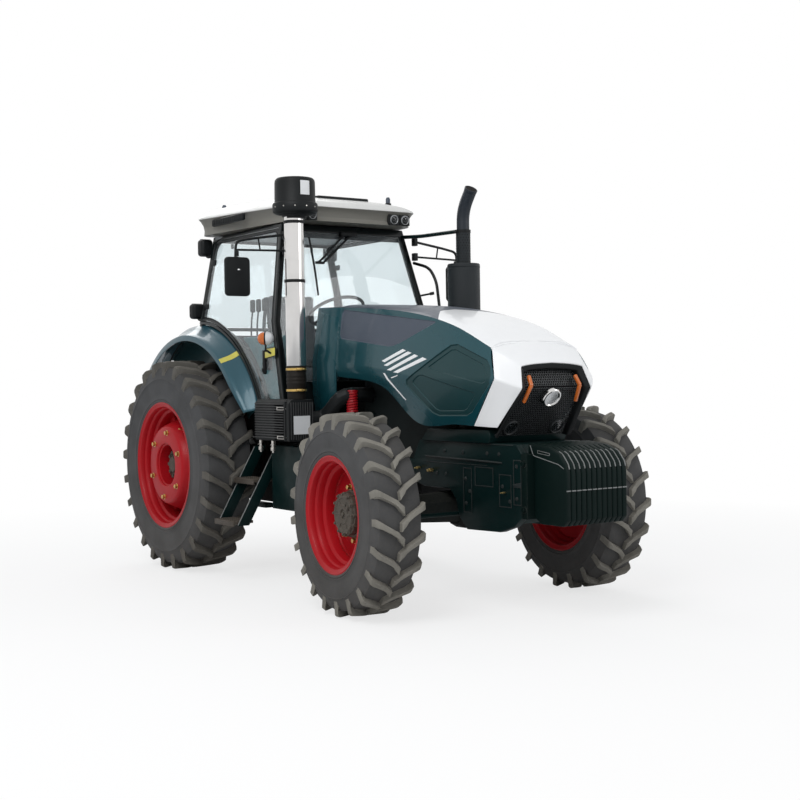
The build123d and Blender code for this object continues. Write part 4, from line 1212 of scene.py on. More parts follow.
HEADER, SILL_Z, ARCH = 2.695, 1.140, 1.140   # the cab's top and foot, and the radius of its wheel arch
ARCH_LINE = [polar(ARCH, 15.2 + (88.5 - 15.2) * i / 14) for i in range(15)]
SIDE_OUTLINE = [(0.030, HEADER), (front_edge(HEADER), HEADER), (front_edge(SILL_Z), SILL_Z)]
SIDE_OUTLINE += [(spot.x, REAR["tip"] + spot.z) for spot in ARCH_LINE]
SCREEN_OUTLINE = [(-0.695, SILL_Z), (0.695, SILL_Z), (0.695, WAIST), (0.552, HEADER), (-0.552, HEADER),
                  (-0.695, WAIST)]
SCREEN_HOLE = [(-0.640, 1.500), (0.640, 1.500), (0.655, 1.940), (0.519, 2.640), (-0.519, 2.640),
               (-0.655, 1.940)]
REAR_OUTLINE = [(-0.695, 1.925), (0.695, 1.925)] + SCREEN_OUTLINE[2:]
REAR_HOLE = [(-0.650, 1.952), (0.650, 1.952), (0.655, 1.965), (0.519, 2.650), (-0.519, 2.650),
             (-0.655, 1.965)]


def side_loop(gap):
    """The cab side's outline drawn in by a gap, with its three free corners rounded."""
    return eased_loop(drawn_in(SIDE_OUTLINE, gap), [0.10, 0.05, 0.03] + [0] * 15)


def side_ring(gap, inner_gap, low, high, side, soft=0.005, steps=2):
    """A frame round the cab's side between two distances in from its outline, and two depths."""
    return side_wall(framed(side_loop(gap), side_loop(inner_gap), "y", low, high, soft, steps), side)


def leant_forward(shape, inset=0.0):
    """Leans an upright sheet, built with its outer face at x 0, into the windscreen's slope."""
    for v in shape.verts:
        v.co.x += front_edge(v.co.z) - inset
    return shape


def cab_posts():
    """The cab's slim welded frame: two sides over the wheels, a screen surround and a rear frame."""
    sides = [side_ring(0.0, 0.026, -0.045, 0.0, side, 0.006, 3) for side in (1, -1)]
    screen = leant_forward(framed(SCREEN_OUTLINE, SCREEN_HOLE, "x", -0.040, 0.0, 0.006, 3))
    back = framed(REAR_OUTLINE, REAR_HOLE, "x", 0.030, 0.075, 0.006, 3)
    rear_legs = [cuboid((0.032, side * 0.640, 1.895), (0.080, side * 0.694, 1.960), 0.006) for side in (1,
                                                                                                        -1)]
    liner = slab([(0.075, -0.560), (1.150, -0.500), (1.150, 0.500), (0.075, 0.560)], "z", 2.672, 2.690, 0.004)
    return together(painted(together(*sides, screen, back, *rear_legs), 0), painted(liner, 1))


def door(name, side):
    """A door leaf with its rubber seal, handle, hinge arms and latch, and its pane."""
    ring = side_ring(0.031, 0.053, -0.036, -0.004, side)
    seal = side_ring(0.051, 0.061, -0.012, -0.002, side, 0.003)
    pull = [cuboid((1.130, side * 0.690, 1.560), (1.165, side * 0.714, 1.740), 0.008, 3),
            drum((1.147, side * 0.690, 1.590), (1.147, side * 0.722, 1.590), 0.015, 24)]
    arms = []
    for z in (2.120, 2.480):
        inner = flank(z) - 0.010
        arms.append(cuboid((0.060, side * inner, z - 0.022), (0.150, side * (inner + 0.016), z + 0.022),
                           0.004))
    latch = cuboid((1.120, side * 0.640, 1.590), (1.165, side * 0.672, 1.700), 0.006)
    whole = together(painted(ring, 0), painted(together(seal, *pull, *arms, latch), 1))
    leaf_node, pane_node = f"door_frame_{name}", f"door_glass_{name}"
    piece(f"door_leaf_{name}", whole, [PILLAR, PLASTIC], f"door_{name}", leaf_node, 30)
    pane = side_wall(slab(side_loop(0.055), "y", -0.012, -0.006, 0), side)
    piece(f"door_pane_{name}", pane, GLASS, f"door_{name}", pane_node, 4)


LINING_OUTLINE = [(1.140, 1.150), (1.425, 1.150), (1.295, 1.850), (0.640, 1.850), (0.790, 1.735),
                  (0.975, 1.530), (1.085, 1.335)]


def cab_shell():
    """The frame, doors, front and rear glass, and the teal lining inside the sides' feet, whose colour
    through the lower door glass also stands in for a painted reflection.
    """
    piece("cab_posts", cab_posts(), [PILLAR, LINER], "chassis", "cab_frame", 30)
    door("left", 1)
    door("right", -1)
    screen_edge = [(y * 1.004, z) for y, z in drawn_in(SCREEN_HOLE, -0.006)]
    screen = leant_forward(slab(screen_edge, "x", -SCREEN_DEPTH, -0.014, 0))
    piece("windscreen_pane", screen, GLASS, "chassis", "windscreen", 4)
    back = slab(drawn_in(REAR_HOLE, 0.005), "x", 0.040, 0.046, 0)
    grip = tube([(0.036, -0.060, 1.990), (0.018, -0.060, 2.000), (0.018, 0.060, 2.000),
                 (0.036, 0.060, 1.990)], 0.006, 0.01, 8)
    stays = [drum((0.036, y, 2.610), (0.036, y, 2.648), 0.012, 16) for y in (-0.380, 0.380)]
    piece("rear_window_pane", back, GLASS, "rear_window", "rear_window", 4)
    piece("rear_window_fittings", together(grip, *stays), PLASTIC, "rear_window")
    # teal lining that also stands in for a painted reflection in the lower door glass
    lining = [side_wall(slab(LINING_OUTLINE, "y", -0.105, -0.085, 0.006), side) for side in (1, -1)]
    piece("cab_side_lining", together(*lining), TEAL_LINING_AND_REFLECTION, "chassis")


def screen_band():
    """The dark border along the windscreen's top, just inside the glass."""
    outline = [(-0.526, 2.596), (0.526, 2.596), (0.512, 2.645), (-0.512, 2.645)]
    return leant_forward(slab(outline, "x", 0, 0.002, 0), SCREEN_DEPTH + 0.012)


def wiper():
    """Two-arm wiper hung from the header, its blade across the right half of the screen."""
    arms = [tube([on_screen(a, 2.640, 0.030), on_screen(b, 2.420, 0.052), on_screen(c, 2.400, 0.036)], 0.0085,
                 0.02, 8) for a, b, c in ((0.000, -0.262, -0.285), (0.062, -0.216, -0.240))]
    motor = cuboid(on_screen(-0.045, 2.655, 0.006), on_screen(0.105, 2.620, 0.040), 0.008, 3)
    link = cuboid(on_screen(-0.300, 2.412, 0.026), on_screen(-0.226, 2.392, 0.046), 0.003)
    line = [(-0.330, 2.600), (-0.312, 2.370), (-0.305, 2.150)]
    spine = tube([on_screen(*p, lift) for p, lift in zip(line, (0.030, 0.036, 0.028))], 0.006, 0.1, 8)
    rubber = tube([on_screen(*p, lift) for p, lift in zip(line, (0.019, 0.021, 0.019))], 0.0035, 0.1, 6)
    return together(*arms, motor, link, spine, rubber)


# levels of the roof from its foot up; columns: rear x, front x, x of the rear and front side corners,
# half widths there, half widths of the two ends, and heights at the rear and the front
ROOF_LEVELS = [(-0.020, 1.370, 0.060, 1.290, 0.660, 0.540, 0.600, 0.460, 2.703, 2.703),
               (-0.040, 1.392, 0.030, 1.330, 0.698, 0.568, 0.610, 0.480, 2.838, 2.812),
               (-0.010, 1.310, 0.080, 1.230, 0.575, 0.500, 0.500, 0.410, 2.918, 2.862),
               (0.220, 1.100, 0.280, 1.040, 0.320, 0.260, 0.260, 0.200, 2.972, 2.922)]
# share of the way through the levels, drawn in by, raised by
ROOF_RINGS = [(0.0, 0.0, 0.0), (0.30, 0.020, 0.0), (0.62, 0.022, 0.0), (0.86, 0.010, 0.0),
              (0.93, 0.004, -0.002), (0.97, 0.001, -0.001), (1.0, 0.0, 0.0), (1.03, 0.003, 0.008),
              (1.12, 0.010, 0.013), (1.35, 0.006, 0.013), (1.65, 0.0, 0.010), (2.0, 0.0, 0.002),
              (2.4, 0.0, 0.006), (3.0, 0.0, 0.0)]
AROUND = 104


def roof_ring(share, draw, rise):
    """One loop of the roof with rounded corners."""
    i = min(int(share), len(ROOF_LEVELS) - 2)
    row = [a + (b - a) * (share - i) for a, b in zip(ROOF_LEVELS[i], ROOF_LEVELS[i + 1])]
    rear, front, rear_x, front_x, rear_half, front_half, rear_end, front_end, z_rear, z_front = row
    corners = [(rear + draw, -rear_end), (rear_x, -rear_half + draw), (front_x, -front_half + draw),
               (front - draw, -front_end), (front - draw, front_end), (front_x, front_half - draw),
               (rear_x, rear_half - draw), (rear + draw, rear_end)]
    loop = rounded([Vector((*p, 0)) for p in corners + corners[:2]], 0.05, 4)
    spans = [(b - a).length for a, b in zip(loop, loop[1:])]
    start, end = spans[0], sum(spans[:-1])
    points, total = [], end - start
    for k in range(AROUND):
        want, i = start + total * k / AROUND, 0
        while want > spans[i] and i < len(spans) - 1:
            want -= spans[i]
            i += 1
        spot = loop[i].lerp(loop[i + 1], want / spans[i])
        slope = (spot.x - rear) / (front - rear)
        points.append(Vector((spot.x, spot.y, z_rear + (z_front - z_rear) * slope + rise)))
    return points


def roof_shell():
    """The moulded roof: a darker band below, a lip all round and a low crown."""
    rings = [roof_ring(*row) for row in ROOF_RINGS]
    shape = bmesh.new()
    loops = []
    for ring in rings:
        made = [shape.verts.new(p) for p in ring]
        loops.append([shape.edges.new((made[k], made[(k + 1) % AROUND])) for k in range(AROUND)])
    for i, (low, high) in enumerate(zip(loops, loops[1:])):
        faces = bmesh.ops.bridge_loops(shape, edges=low + high)["faces"]
        for face in faces:
            face.material_index = 1 if i < 5 else 0
    for loop, index in ((loops[0], 1), (loops[-1], 0)):
        cap = bmesh.ops.holes_fill(shape, edges=loop, sides=AROUND)["faces"]
        for face in cap:
            face.material_index = index
    return shape


def roof_details():
    """Vents in the side band, twin square lamps in front, marker lamps on top and a low hatch."""
    for side, name in ((1, "left"), (-1, "right")):
        frame_part = cuboid((0.240, side * 0.640, 2.756), (0.770, side * 0.672, 2.812), 0.012, 3)
        slats = [cuboid((x, side * 0.668, 2.764), (x + 0.008, side * 0.676, 2.804), 0.002, 1)
                 for x in (0.262 + 0.031 * i for i in range(16))]
        piece(f"roof_vent_{name}", together(frame_part, *slats), PLASTIC, "chassis")
    housing = cuboid((1.300, 0.282, 2.704), (1.376, 0.486, 2.790), 0.010, 3)
    shell, bowl, lens = [], [], []
    for y in (0.332, 0.434):
        square = [(y - 0.044, 2.706), (y + 0.044, 2.706), (y + 0.044, 2.786), (y - 0.044, 2.786)]
        shell.append(slab(square, "x", 1.374, 1.384, 0.003))
        place = facing((1.380, y, 2.746), (1, 0, -0.12)) @ UPRIGHT
        bowl.append(moved(turned([(0.028, -0.002), (0.028, 0.006), (0.032, 0.009), (0.037, 0.006),
                                  (0.037, -0.002)], 32), place))
        lens.append(moved(turned([(0.0, 0.008), (0.016, 0.007), (0.028, 0.003), (0.028, 0.0), (0.0, 0.0)],
                                 32), place))
    lamps = together(painted(together(housing, *shell), 0), painted(together(*bowl), 1),
                     painted(together(*lens), 2))
    mirrored = moved(lamps.copy(), Matrix.Translation((0, -0.104, 0)) @ Matrix.Diagonal((1, -0.9, 1, 1)))
    piece("roof_lamps", together(lamps, mirrored), [PLASTIC, LAMP_GREY, LENS], "chassis")
    marker = together(painted(turned_up([(0.0, 0.0), (0.026, 0.0), (0.026, 0.016), (0.020, 0.020),
                                         (0.0, 0.020)], 24), 0),
                      painted(turned_up([(0.0, 0.020), (0.018, 0.020), (0.018, 0.052), (0.012, 0.066),
                                         (0.0, 0.070)], 24), 1))
    spots = [(0.035, -0.45, 2.902), (1.155, -0.43, 2.886), (0.035, 0.45, 2.902), (1.155, 0.43, 2.886)]
    piece("roof_markers", repeated(marker, [Matrix.Translation(p) for p in spots]), [PLASTIC, PANEL_GREY],
          "chassis")
    hatch = cuboid((0.760, -0.230, 2.905), (1.180, 0.230, 2.951), 0.010, 3)
    for v in hatch.verts:
        v.co.z -= (v.co.x - 0.760) * 0.062
    piece("roof_hatch", hatch, PLASTIC, "chassis")


def pillar_lamps():
    """Rounded work lamps on the rear pillars, each with a ribbed back, a clear face and its arm."""
    made = []
    for reach, z, half_z in ((0.602, 2.612, 0.070), (0.688, 2.088, 0.062)):
        foot, top = z - half_z, z + half_z
        for side in (1, -1):
            y = side * reach
            left, right = y - 0.054, y + 0.054
            body = cuboid((-0.072, left, foot), (0.028, right, top), 0.028, 5)
            ribs = [cuboid((x - 0.005, left + 0.014, top - 0.010), (x, right - 0.014, top + 0.002), 0.001, 1)
                    for x in (-0.005, -0.019, -0.033)]
            face = cuboid((-0.0745, left + 0.018, foot + 0.016), (-0.068, right - 0.018, top - 0.016), 0.005,
                          2)
            route = [(0.000, y, foot + 0.006), (0.014, y, foot - 0.012), (0.050, side * (reach - 0.010),
                                                                          foot - 0.010)]
            made += [painted(together(body, *ribs, tube(route, 0.008, 0.02, 8)), 0), painted(face, 1)]
    piece("rear_work_lamps", together(*made), [PLASTIC, LENS], "chassis", "work_lamps")


def door_mirrors():
    """Two-tube arms with a brace, and rounded mirror housings."""
    arm = tube([(1.262, 0.560, 2.600), (1.262, 0.850, 2.556), (1.262, 0.985, 2.530), (1.262, 0.990, 2.400)],
               0.010, 0.045, 12)
    lower = tube([(1.262, 0.575, 2.478), (1.262, 0.975, 2.468)], 0.008, 0, 10)
    brace = tube([(1.262, 0.800, 2.560), (1.262, 0.785, 2.472)], 0.006, 0, 8)
    clamps = [drum((1.262, 0.980, z - 0.018), (1.262, 0.980, z + 0.018), 0.017, 16) for z in (2.440, 2.400)]
    feet = [cuboid((1.240, 0.556, z - 0.030), (1.284, 0.590, z + 0.030), 0.005) for z in (2.595, 2.478)]
    back = slab([(0.880, 2.130), (1.080, 2.130), (1.080, 2.415), (0.880, 2.415)], "x", 1.248, 1.284, 0)
    ease(back, 0.030, 4, edges=[e for e in back.edges if abs((e.verts[0].co - e.verts[1].co).x) > 0.01])
    ease(back, 0.011, 4)
    stud = cuboid((1.283, 0.965, 2.318), (1.286, 0.985, 2.328), 0.001, 1)
    glass = cuboid((1.243, 0.892, 2.142), (1.249, 1.068, 2.403), 0.003, 1)
    whole = together(painted(together(arm, lower, brace, *clamps, *feet, back), 0), painted(stud, 1),
                     painted(glass, 2))
    outboard = moved(whole.copy(), Matrix.Translation((0, 0.035, 0)))
    other = moved(whole, MIRROR)
    piece("door_mirrors", together(outboard, other), [PLASTIC, SILVER, MIRROR_FACE], "chassis",
          "mirrors")


def grab_rails():
    """The rail and handle at the left front post, and the stay from the roof to the exhaust."""
    route = [(1.165, 0.662, 2.440), (1.300, 0.722, 2.395), (1.375, 0.735, 2.280), (1.420, 0.735, 2.020),
             (1.395, 0.712, 1.960)]
    rail = tube(route, 0.012, 0.06, 12)
    handle = together(drum((1.262, 0.640, 2.168), (1.312, 0.728, 2.186), 0.008, 12),
                      drum((1.306, 0.718, 2.184), (1.332, 0.742, 2.190), 0.013, 16, 0.004))
    strut = tube([(1.160, 0.540, 2.640), (1.420, 0.560, 2.625), (1.900, 0.575, 2.618)], 0.015, 0.05, 12)
    piece("grab_rail", together(rail, handle), PILLAR, "chassis")
    piece("exhaust_stay", strut, BLACK, "chassis")


def signal_lamps():
    """A round indicator ahead of each door, amber on one face and pale on the other, and a reflector."""
    dome = [(0.0, 0.060), (0.018, 0.058), (0.034, 0.048), (0.046, 0.030), (0.050, 0.004), (0.0, 0.004)]
    lamp = together(painted(turned(dome, 32), 0), painted(turned([(r, -y) for r, y in dome], 32), 1),
                    painted(turned([(0.0, -0.005), (0.053, -0.005), (0.053, 0.005), (0.0, 0.005)], 32), 2),
                    painted(cuboid((-0.010, -0.006, -0.100), (0.010, 0.006, -0.046), 0.003), 2))
    place = Matrix.Translation((1.290, -0.768, 1.822)) @ Matrix.Rotation(radians(-38), 4, "Z")
    bracket = tube([(1.290, -0.762, 1.735), (1.300, -0.735, 1.712), (1.330, -0.690, 1.706)], 0.008, 0.02, 8)
    backing = slab([(1.205, 1.672), (1.368, 1.690), (1.368, 1.758), (1.205, 1.752)], "y", -0.731, -0.725,
                   0.002)
    strip = slab([(1.211, 1.679), (1.362, 1.696), (1.362, 1.752), (1.211, 1.746)], "y", -0.7325, -0.7305,
                 0.0008)
    whole = together(moved(lamp, place), painted(together(bracket, backing), 2), painted(strip, 3))
    piece("indicator_lamps", both_sides(whole), [PLATE, AMBER, PLASTIC, YELLOW], "chassis")


def interior():
    """Steering wheel, levers and consoles behind the glass."""
    hoop_place = Matrix.Translation((1.045, 0, 2.045)) @ Matrix.Rotation(radians(-28.0), 4, "Y") @ UPRIGHT
    hoop = moved(tube([polar(0.218, 10 * i) for i in range(36)], 0.013, 0, 12, True), hoop_place)
    spoke = cuboid((0.020, -0.006, -0.016), (0.214, 0.006, 0.016), 0.004)
    spokes = repeated(spoke, [hoop_place @ turn for turn in around(3, 90)])
    centre = moved(turned([(0.0, -0.02), (0.036, -0.02), (0.042, 0.0), (0.036, 0.016), (0.0, 0.020)], 32),
                   hoop_place)
    column = drum((1.205, 0, 1.640), (1.057, 0, 2.027), 0.036, 24, 0.004)
    pod_outline = [(1.180, 1.120), (1.330, 1.120), (1.330, 1.400), (1.245, 1.700), (1.150, 1.662),
                   (1.180, 1.400)]
    pod = slab(pod_outline, "y", -0.150, 0.150, 0.018, 3)
    case_outline = [(1.135, 1.640), (1.265, 1.640), (1.255, 1.900), (1.225, 1.955), (1.165, 1.930),
                    (1.120, 1.800)]
    cluster = slab(case_outline, "y", -0.170, 0.170, 0.035, 4)
    whole = together(hoop, spokes, centre, column, pod, cluster)
    piece("steering_wheel", whole, PLASTIC, "chassis", "steering_column")
    levers = []
    for x, y in ((0.300, -0.360), (0.400, -0.360), (0.500, -0.360), (0.640, -0.420)):
        levers += [tube([(x, y, 1.770), (x + 0.010, y, 1.980), (x + 0.035, y, 2.080)], 0.007, 0.04, 8),
                   cuboid((x + 0.014, y - 0.017, 2.065), (x + 0.060, y + 0.017, 2.170), 0.014, 4)]
    box_outline = [(0.260, 1.120), (0.800, 1.120), (0.800, 1.640), (0.740, 1.750), (0.560, 1.778),
                   (0.270, 1.770)]
    console = slab(box_outline, "y", -0.520, -0.330, 0.020, 3)
    piece("lever_console", together(console, *levers), PLASTIC, "chassis",
          "side_console")


def stuffed(name, shape, material, gather, nodes=()):
    """A seat cushion: a closed form blown up as cloth, its swelling capped and its seams as they were."""
    bmesh.ops.translate(shape, verts=shape.verts, vec=(AXLE_X, 0, 0))
    made = placed(name, as_mesh(shape, name))
    bpy.context.view_layer.objects.active = made
    remesh = made.modifiers.new("even", "REMESH")
    remesh.mode, remesh.voxel_size = "VOXEL", 0.0055
    settle(made)
    start = [v.co.copy() for v in made.data.vertices]
    cloth_sim = made.modifiers.new("swell", "CLOTH")
    cloth_sim.settings.use_pressure, cloth_sim.settings.uniform_pressure_force = True, 4.0
    cloth_sim.settings.effector_weights.gravity = 0.0
    cloth_sim.settings.quality = 4
    for step in range(1, 21):
        bpy.context.scene.frame_set(step)
    settle(made)
    for v, before in zip(made.data.vertices, start):
        push = v.co - before
        if push.length > gather:
            v.co = before + push.normalized() * gather
    bpy.context.scene.frame_set(1)
    level = made.modifiers.new("fine", "SUBSURF")
    level.levels = level.render_levels = 1
    settle(made)
    made.data.polygons.foreach_set("use_smooth", [True] * len(made.data.polygons))
    made.data.materials.clear()
    made.data.materials.append(material)
    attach(made, "chassis")
    if nodes:
        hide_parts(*nodes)


def settle(made):
    """Makes an object's modifiers part of its mesh."""
    bpy.context.view_layer.update()
    mesh = bpy.data.meshes.new_from_object(made.evaluated_get(bpy.context.evaluated_depsgraph_get()))
    old = made.data
    made.modifiers.clear()
    made.data = mesh
    bpy.data.meshes.remove(old)


def seat():
    """A sprung seat: cloth cushion and back with side rolls, vinyl shells, arm rests and a pedestal."""
    base = cuboid((0.350, -0.225, 1.515), (0.785, 0.225, 1.590), 0.030, 3)
    stuffed("seat_cushion", base, CLOTH, 0.016, ("seat",))
    lean = Matrix.Translation((0.395, 0, 1.620)) @ Matrix.Rotation(radians(-7.5), 4, "Y")
    back = moved(cuboid((-0.035, -0.215, 0.0), (0.045, 0.215, 0.600), 0.034, 3), lean)
    stuffed("seat_back", back, CLOTH, 0.014)
    seams = [tube([(0.440, y, 1.607), (0.700, y, 1.607), (0.770, y, 1.600)], 0.0035, 0.03, 6)
             for y in (-0.120, 0.120)]
    shell = together(moved(cuboid((-0.062, -0.205, -0.02), (-0.030, 0.205, 0.560), 0.014, 3), lean),
                     cuboid((0.345, -0.215, 1.500), (0.780, 0.215, 1.522), 0.008, 2),
                     cuboid((0.420, -0.160, 1.120), (0.700, 0.160, 1.200), 0.010),
                     cuboid((0.450, -0.140, 1.200), (0.670, 0.140, 1.400), 0.012),
                     cuboid((0.430, -0.165, 1.400), (0.690, 0.165, 1.500), 0.010),
                     *(cuboid((0.450, y - 0.030, 1.770), (0.700, y + 0.030, 1.815), 0.018, 3)
                       for y in (-0.262, 0.262)),
                     *(tube([(0.400, y, 1.700), (0.420, y, 1.790), (0.470, y, 1.790)], 0.010, 0.03, 8)
                       for y in (-0.246, 0.246)))
    bellows = [cuboid((0.440, -0.150, 1.215 + 0.030 * i), (0.680, 0.150, 1.233 + 0.030 * i), 0.007, 2)
               for i in range(6)]
    piece("seat_frame", together(shell, *seams, *bellows), SEAT_SIDE, "chassis")


cab_shell()
piece("screen_band", screen_band(), FLOOR_MAT, "chassis")
piece("screen_wiper", wiper(), PLASTIC, "chassis")
piece("roof_moulding", roof_shell(), [ROOF_WHITE, ROOF_SIDE], "chassis", "cab_roof", 30)
roof_details()
pillar_lamps()
door_mirrors()
grab_rails()
signal_lamps()
interior()
seat()


# ---------------------------------------------------------------- intake, exhaust and air cleaner
STACK = Matrix.Translation((1.622, -0.703, 0))
TUBE_RADIUS = 0.0715


def clamp_band(z, radius, wide=0.016):
    """A worm-drive band: a flat ring and its screw housing."""
    ring = turned_up([(radius, z - wide / 2), (radius + 0.004, z - wide / 2), (radius + 0.004, z + wide / 2),
                      (radius, z + wide / 2)], 48)
    screw = cuboid((radius - 0.002, -0.024, z - 0.009), (radius + 0.014, 0.024, z + 0.009), 0.003)
    head = drum((radius + 0.007, 0.024, z), (radius + 0.007, 0.036, z), 0.006, 6, 0.001)
    return together(ring, screw, head)


def spun(shape, degrees):
    """A shape turned about the Z axis."""
    return moved(shape, Matrix.Rotation(radians(degrees), 4, "Z"))


def intake():
    """The bright upright tube, its ribbed rubber sleeve, bands, straps and holders."""
    chrome = turned_up([(0.066, 1.590), (0.071, 1.592), (TUBE_RADIUS, 1.600), (TUBE_RADIUS, 2.690),
                        (0.066, 2.690)], 72)
    piece("intake_tube", moved(chrome, STACK), CHROME, "chassis", "intake_stack", 40)
    ribs = [(0.066, 1.374)]
    for i in range(3):
        z = 1.490 + 0.026 * i
        ribs += [(0.069, z - 0.012), (0.0725, z - 0.006), (0.0725, z + 0.006), (0.069, z + 0.012)]
    hose = turned_up([(0.050, 1.374)] + ribs + [(0.0725, 1.580), (0.0725, 1.612), (TUBE_RADIUS, 1.614),
                                                (0.050, 1.614)], 64)
    piece("intake_sleeve", moved(hose, STACK), RUBBER, "chassis", (), 40)
    gold = together(*(spun(clamp_band(z, TUBE_RADIUS), -12) for z in (1.439, 1.590)))
    piece("intake_clamps", moved(gold, STACK), ZINC, "chassis")
    straps = together(*(spun(clamp_band(z, 0.0712, 0.022), -20) for z in (2.222, 2.644)))
    piece("intake_straps", moved(straps, STACK), PLASTIC, "chassis")
    holders = [tube([(1.340, -0.600, z - 0.01), (1.440, -0.640, z), (1.555, -0.700, z)], 0.008, 0.04, 8)
               for z in (2.222, 2.600)]
    piece("intake_holders", together(*holders), BLACK, "chassis")


def outward(radius, turn, z):
    """A place on a round upright wall whose Z axis points out of it."""
    return facing((radius * cos(turn), radius * sin(turn), z), (cos(turn), sin(turn), 0))


def pre_cleaner():
    """A drum-shaped dust separator with a wide lower flange, a ring of studs and a blank plate."""
    body = turned_up([(0.020, 2.682), (0.092, 2.682), (0.098, 2.694), (0.142, 2.702), (0.159, 2.714),
                      (0.163, 2.726), (0.163, 2.766), (0.159, 2.776), (0.150, 2.781), (0.1470, 2.790),
                      (0.1455, 2.926), (0.1420, 2.944), (0.1300, 2.956), (0.020, 2.958)], 72)
    stud_places = [outward(0.1625, 2 * pi * i / 12, 2.746) for i in range(12)]
    studs = repeated(drum((0, 0, -0.002), (0, 0, 0.0012), 0.005, 8, 0.0004, steps=1), stud_places)
    neck = turned_up([(0.060, 2.668), (0.079, 2.668), (0.079, 2.694), (0.060, 2.694)], 48)
    plate_radius, plate_turn, plate_foot, plate_height = 0.1481, 0.50, 2.826, 0.100
    plate = solid(grid(12, 1, lambda a, b: (plate_radius * cos((a - 0.5) * plate_turn),
                                            plate_radius * sin((a - 0.5) * plate_turn),
                                            plate_foot + b * plate_height)), 0.0010)
    whole = together(painted(together(body, neck), 0), painted(plate, 1), painted(studs, 2))
    whole = moved(whole, Matrix.Translation((0.006, 0.009, 0)) @ STACK)
    piece("dust_bowl", whole, [PLASTIC, PLATE, STEEL], "chassis", "pre_cleaner", 35)


def cleaner_box():
    """The filter housing: fine ribs round it, a blank plate in front, wire clips and drain cocks."""
    body = [slab([(-0.706, 1.074), (-0.806, 1.074), (-0.812, 1.080), (-0.812, 1.350), (-0.790, 1.371),
                  (-0.706, 1.371)], "x", 1.190, 1.640, 0.012, 3),
            slab([(-0.612, 1.074), (-0.806, 1.074), (-0.812, 1.080), (-0.812, 1.345), (-0.786, 1.371),
                  (-0.612, 1.371)], "x", 1.478, 1.693, 0.012, 3)]
    ribs = [cuboid((1.192, -0.8195, 1.092 + 0.0188 * i), (1.622, -0.806, 1.101 + 0.0188 * i), 0.003, 2)
            for i in range(14)]
    split = cuboid((1.630, -0.8195, 1.076), (1.652, -0.802, 1.362), 0.004, 2)
    uprights = [cuboid((1.688, -0.796 + 0.0195 * i, 1.086), (1.6995, -0.788 + 0.0195 * i, 1.352), 0.003, 2)
                for i in range(10)]
    across = [cuboid((1.200 + 0.030 * i, -0.792, 1.368), (1.212 + 0.030 * i, -0.640 if i > 9 else -0.712,
                                                          1.3745), 0.003, 2) for i in range(16)]
    black, ribbing = together(*body, split), together(*ribs, *uprights, *across)
    plate = cuboid((1.6985, -0.775, 1.124), (1.6998, -0.640, 1.255), 0.0004, 1)
    clips = []
    for z in (1.308, 1.100):
        clips += [tube([(1.540, -0.8185, z + step), (1.620, -0.8185, z + step), (1.655, -0.812, z)], 0.0025,
                       0.01, 8) for step in (0.009, -0.009)]
        clips.append(drum((1.540, -0.8195, z - 0.012), (1.540, -0.8195, z + 0.012), 0.004, 10, 0.001))
    cocks = []
    for x in (1.235, 1.420):
        cocks += [drum((x, -0.790, 1.022), (x, -0.790, 1.074), 0.014, 20),
                  drum((x, -0.790, 1.000), (x, -0.790, 1.024), 0.021, 6),
                  drum((x, -0.790, 0.984), (x, -0.790, 1.002), 0.009, 16), drum((x - 0.026, -0.800, 1.040),
                                                                                (x + 0.026, -0.800, 1.054),
                                                                                0.004, 8, 0.001)]
    whole = together(painted(black, 0), painted(plate, 1), painted(together(*clips, *cocks), 2),
                     painted(ribbing, 3))
    piece("filter_housing", whole, [PLASTIC, PLATE, STEEL, RIBBING], "chassis",
          "air_cleaner", 35)


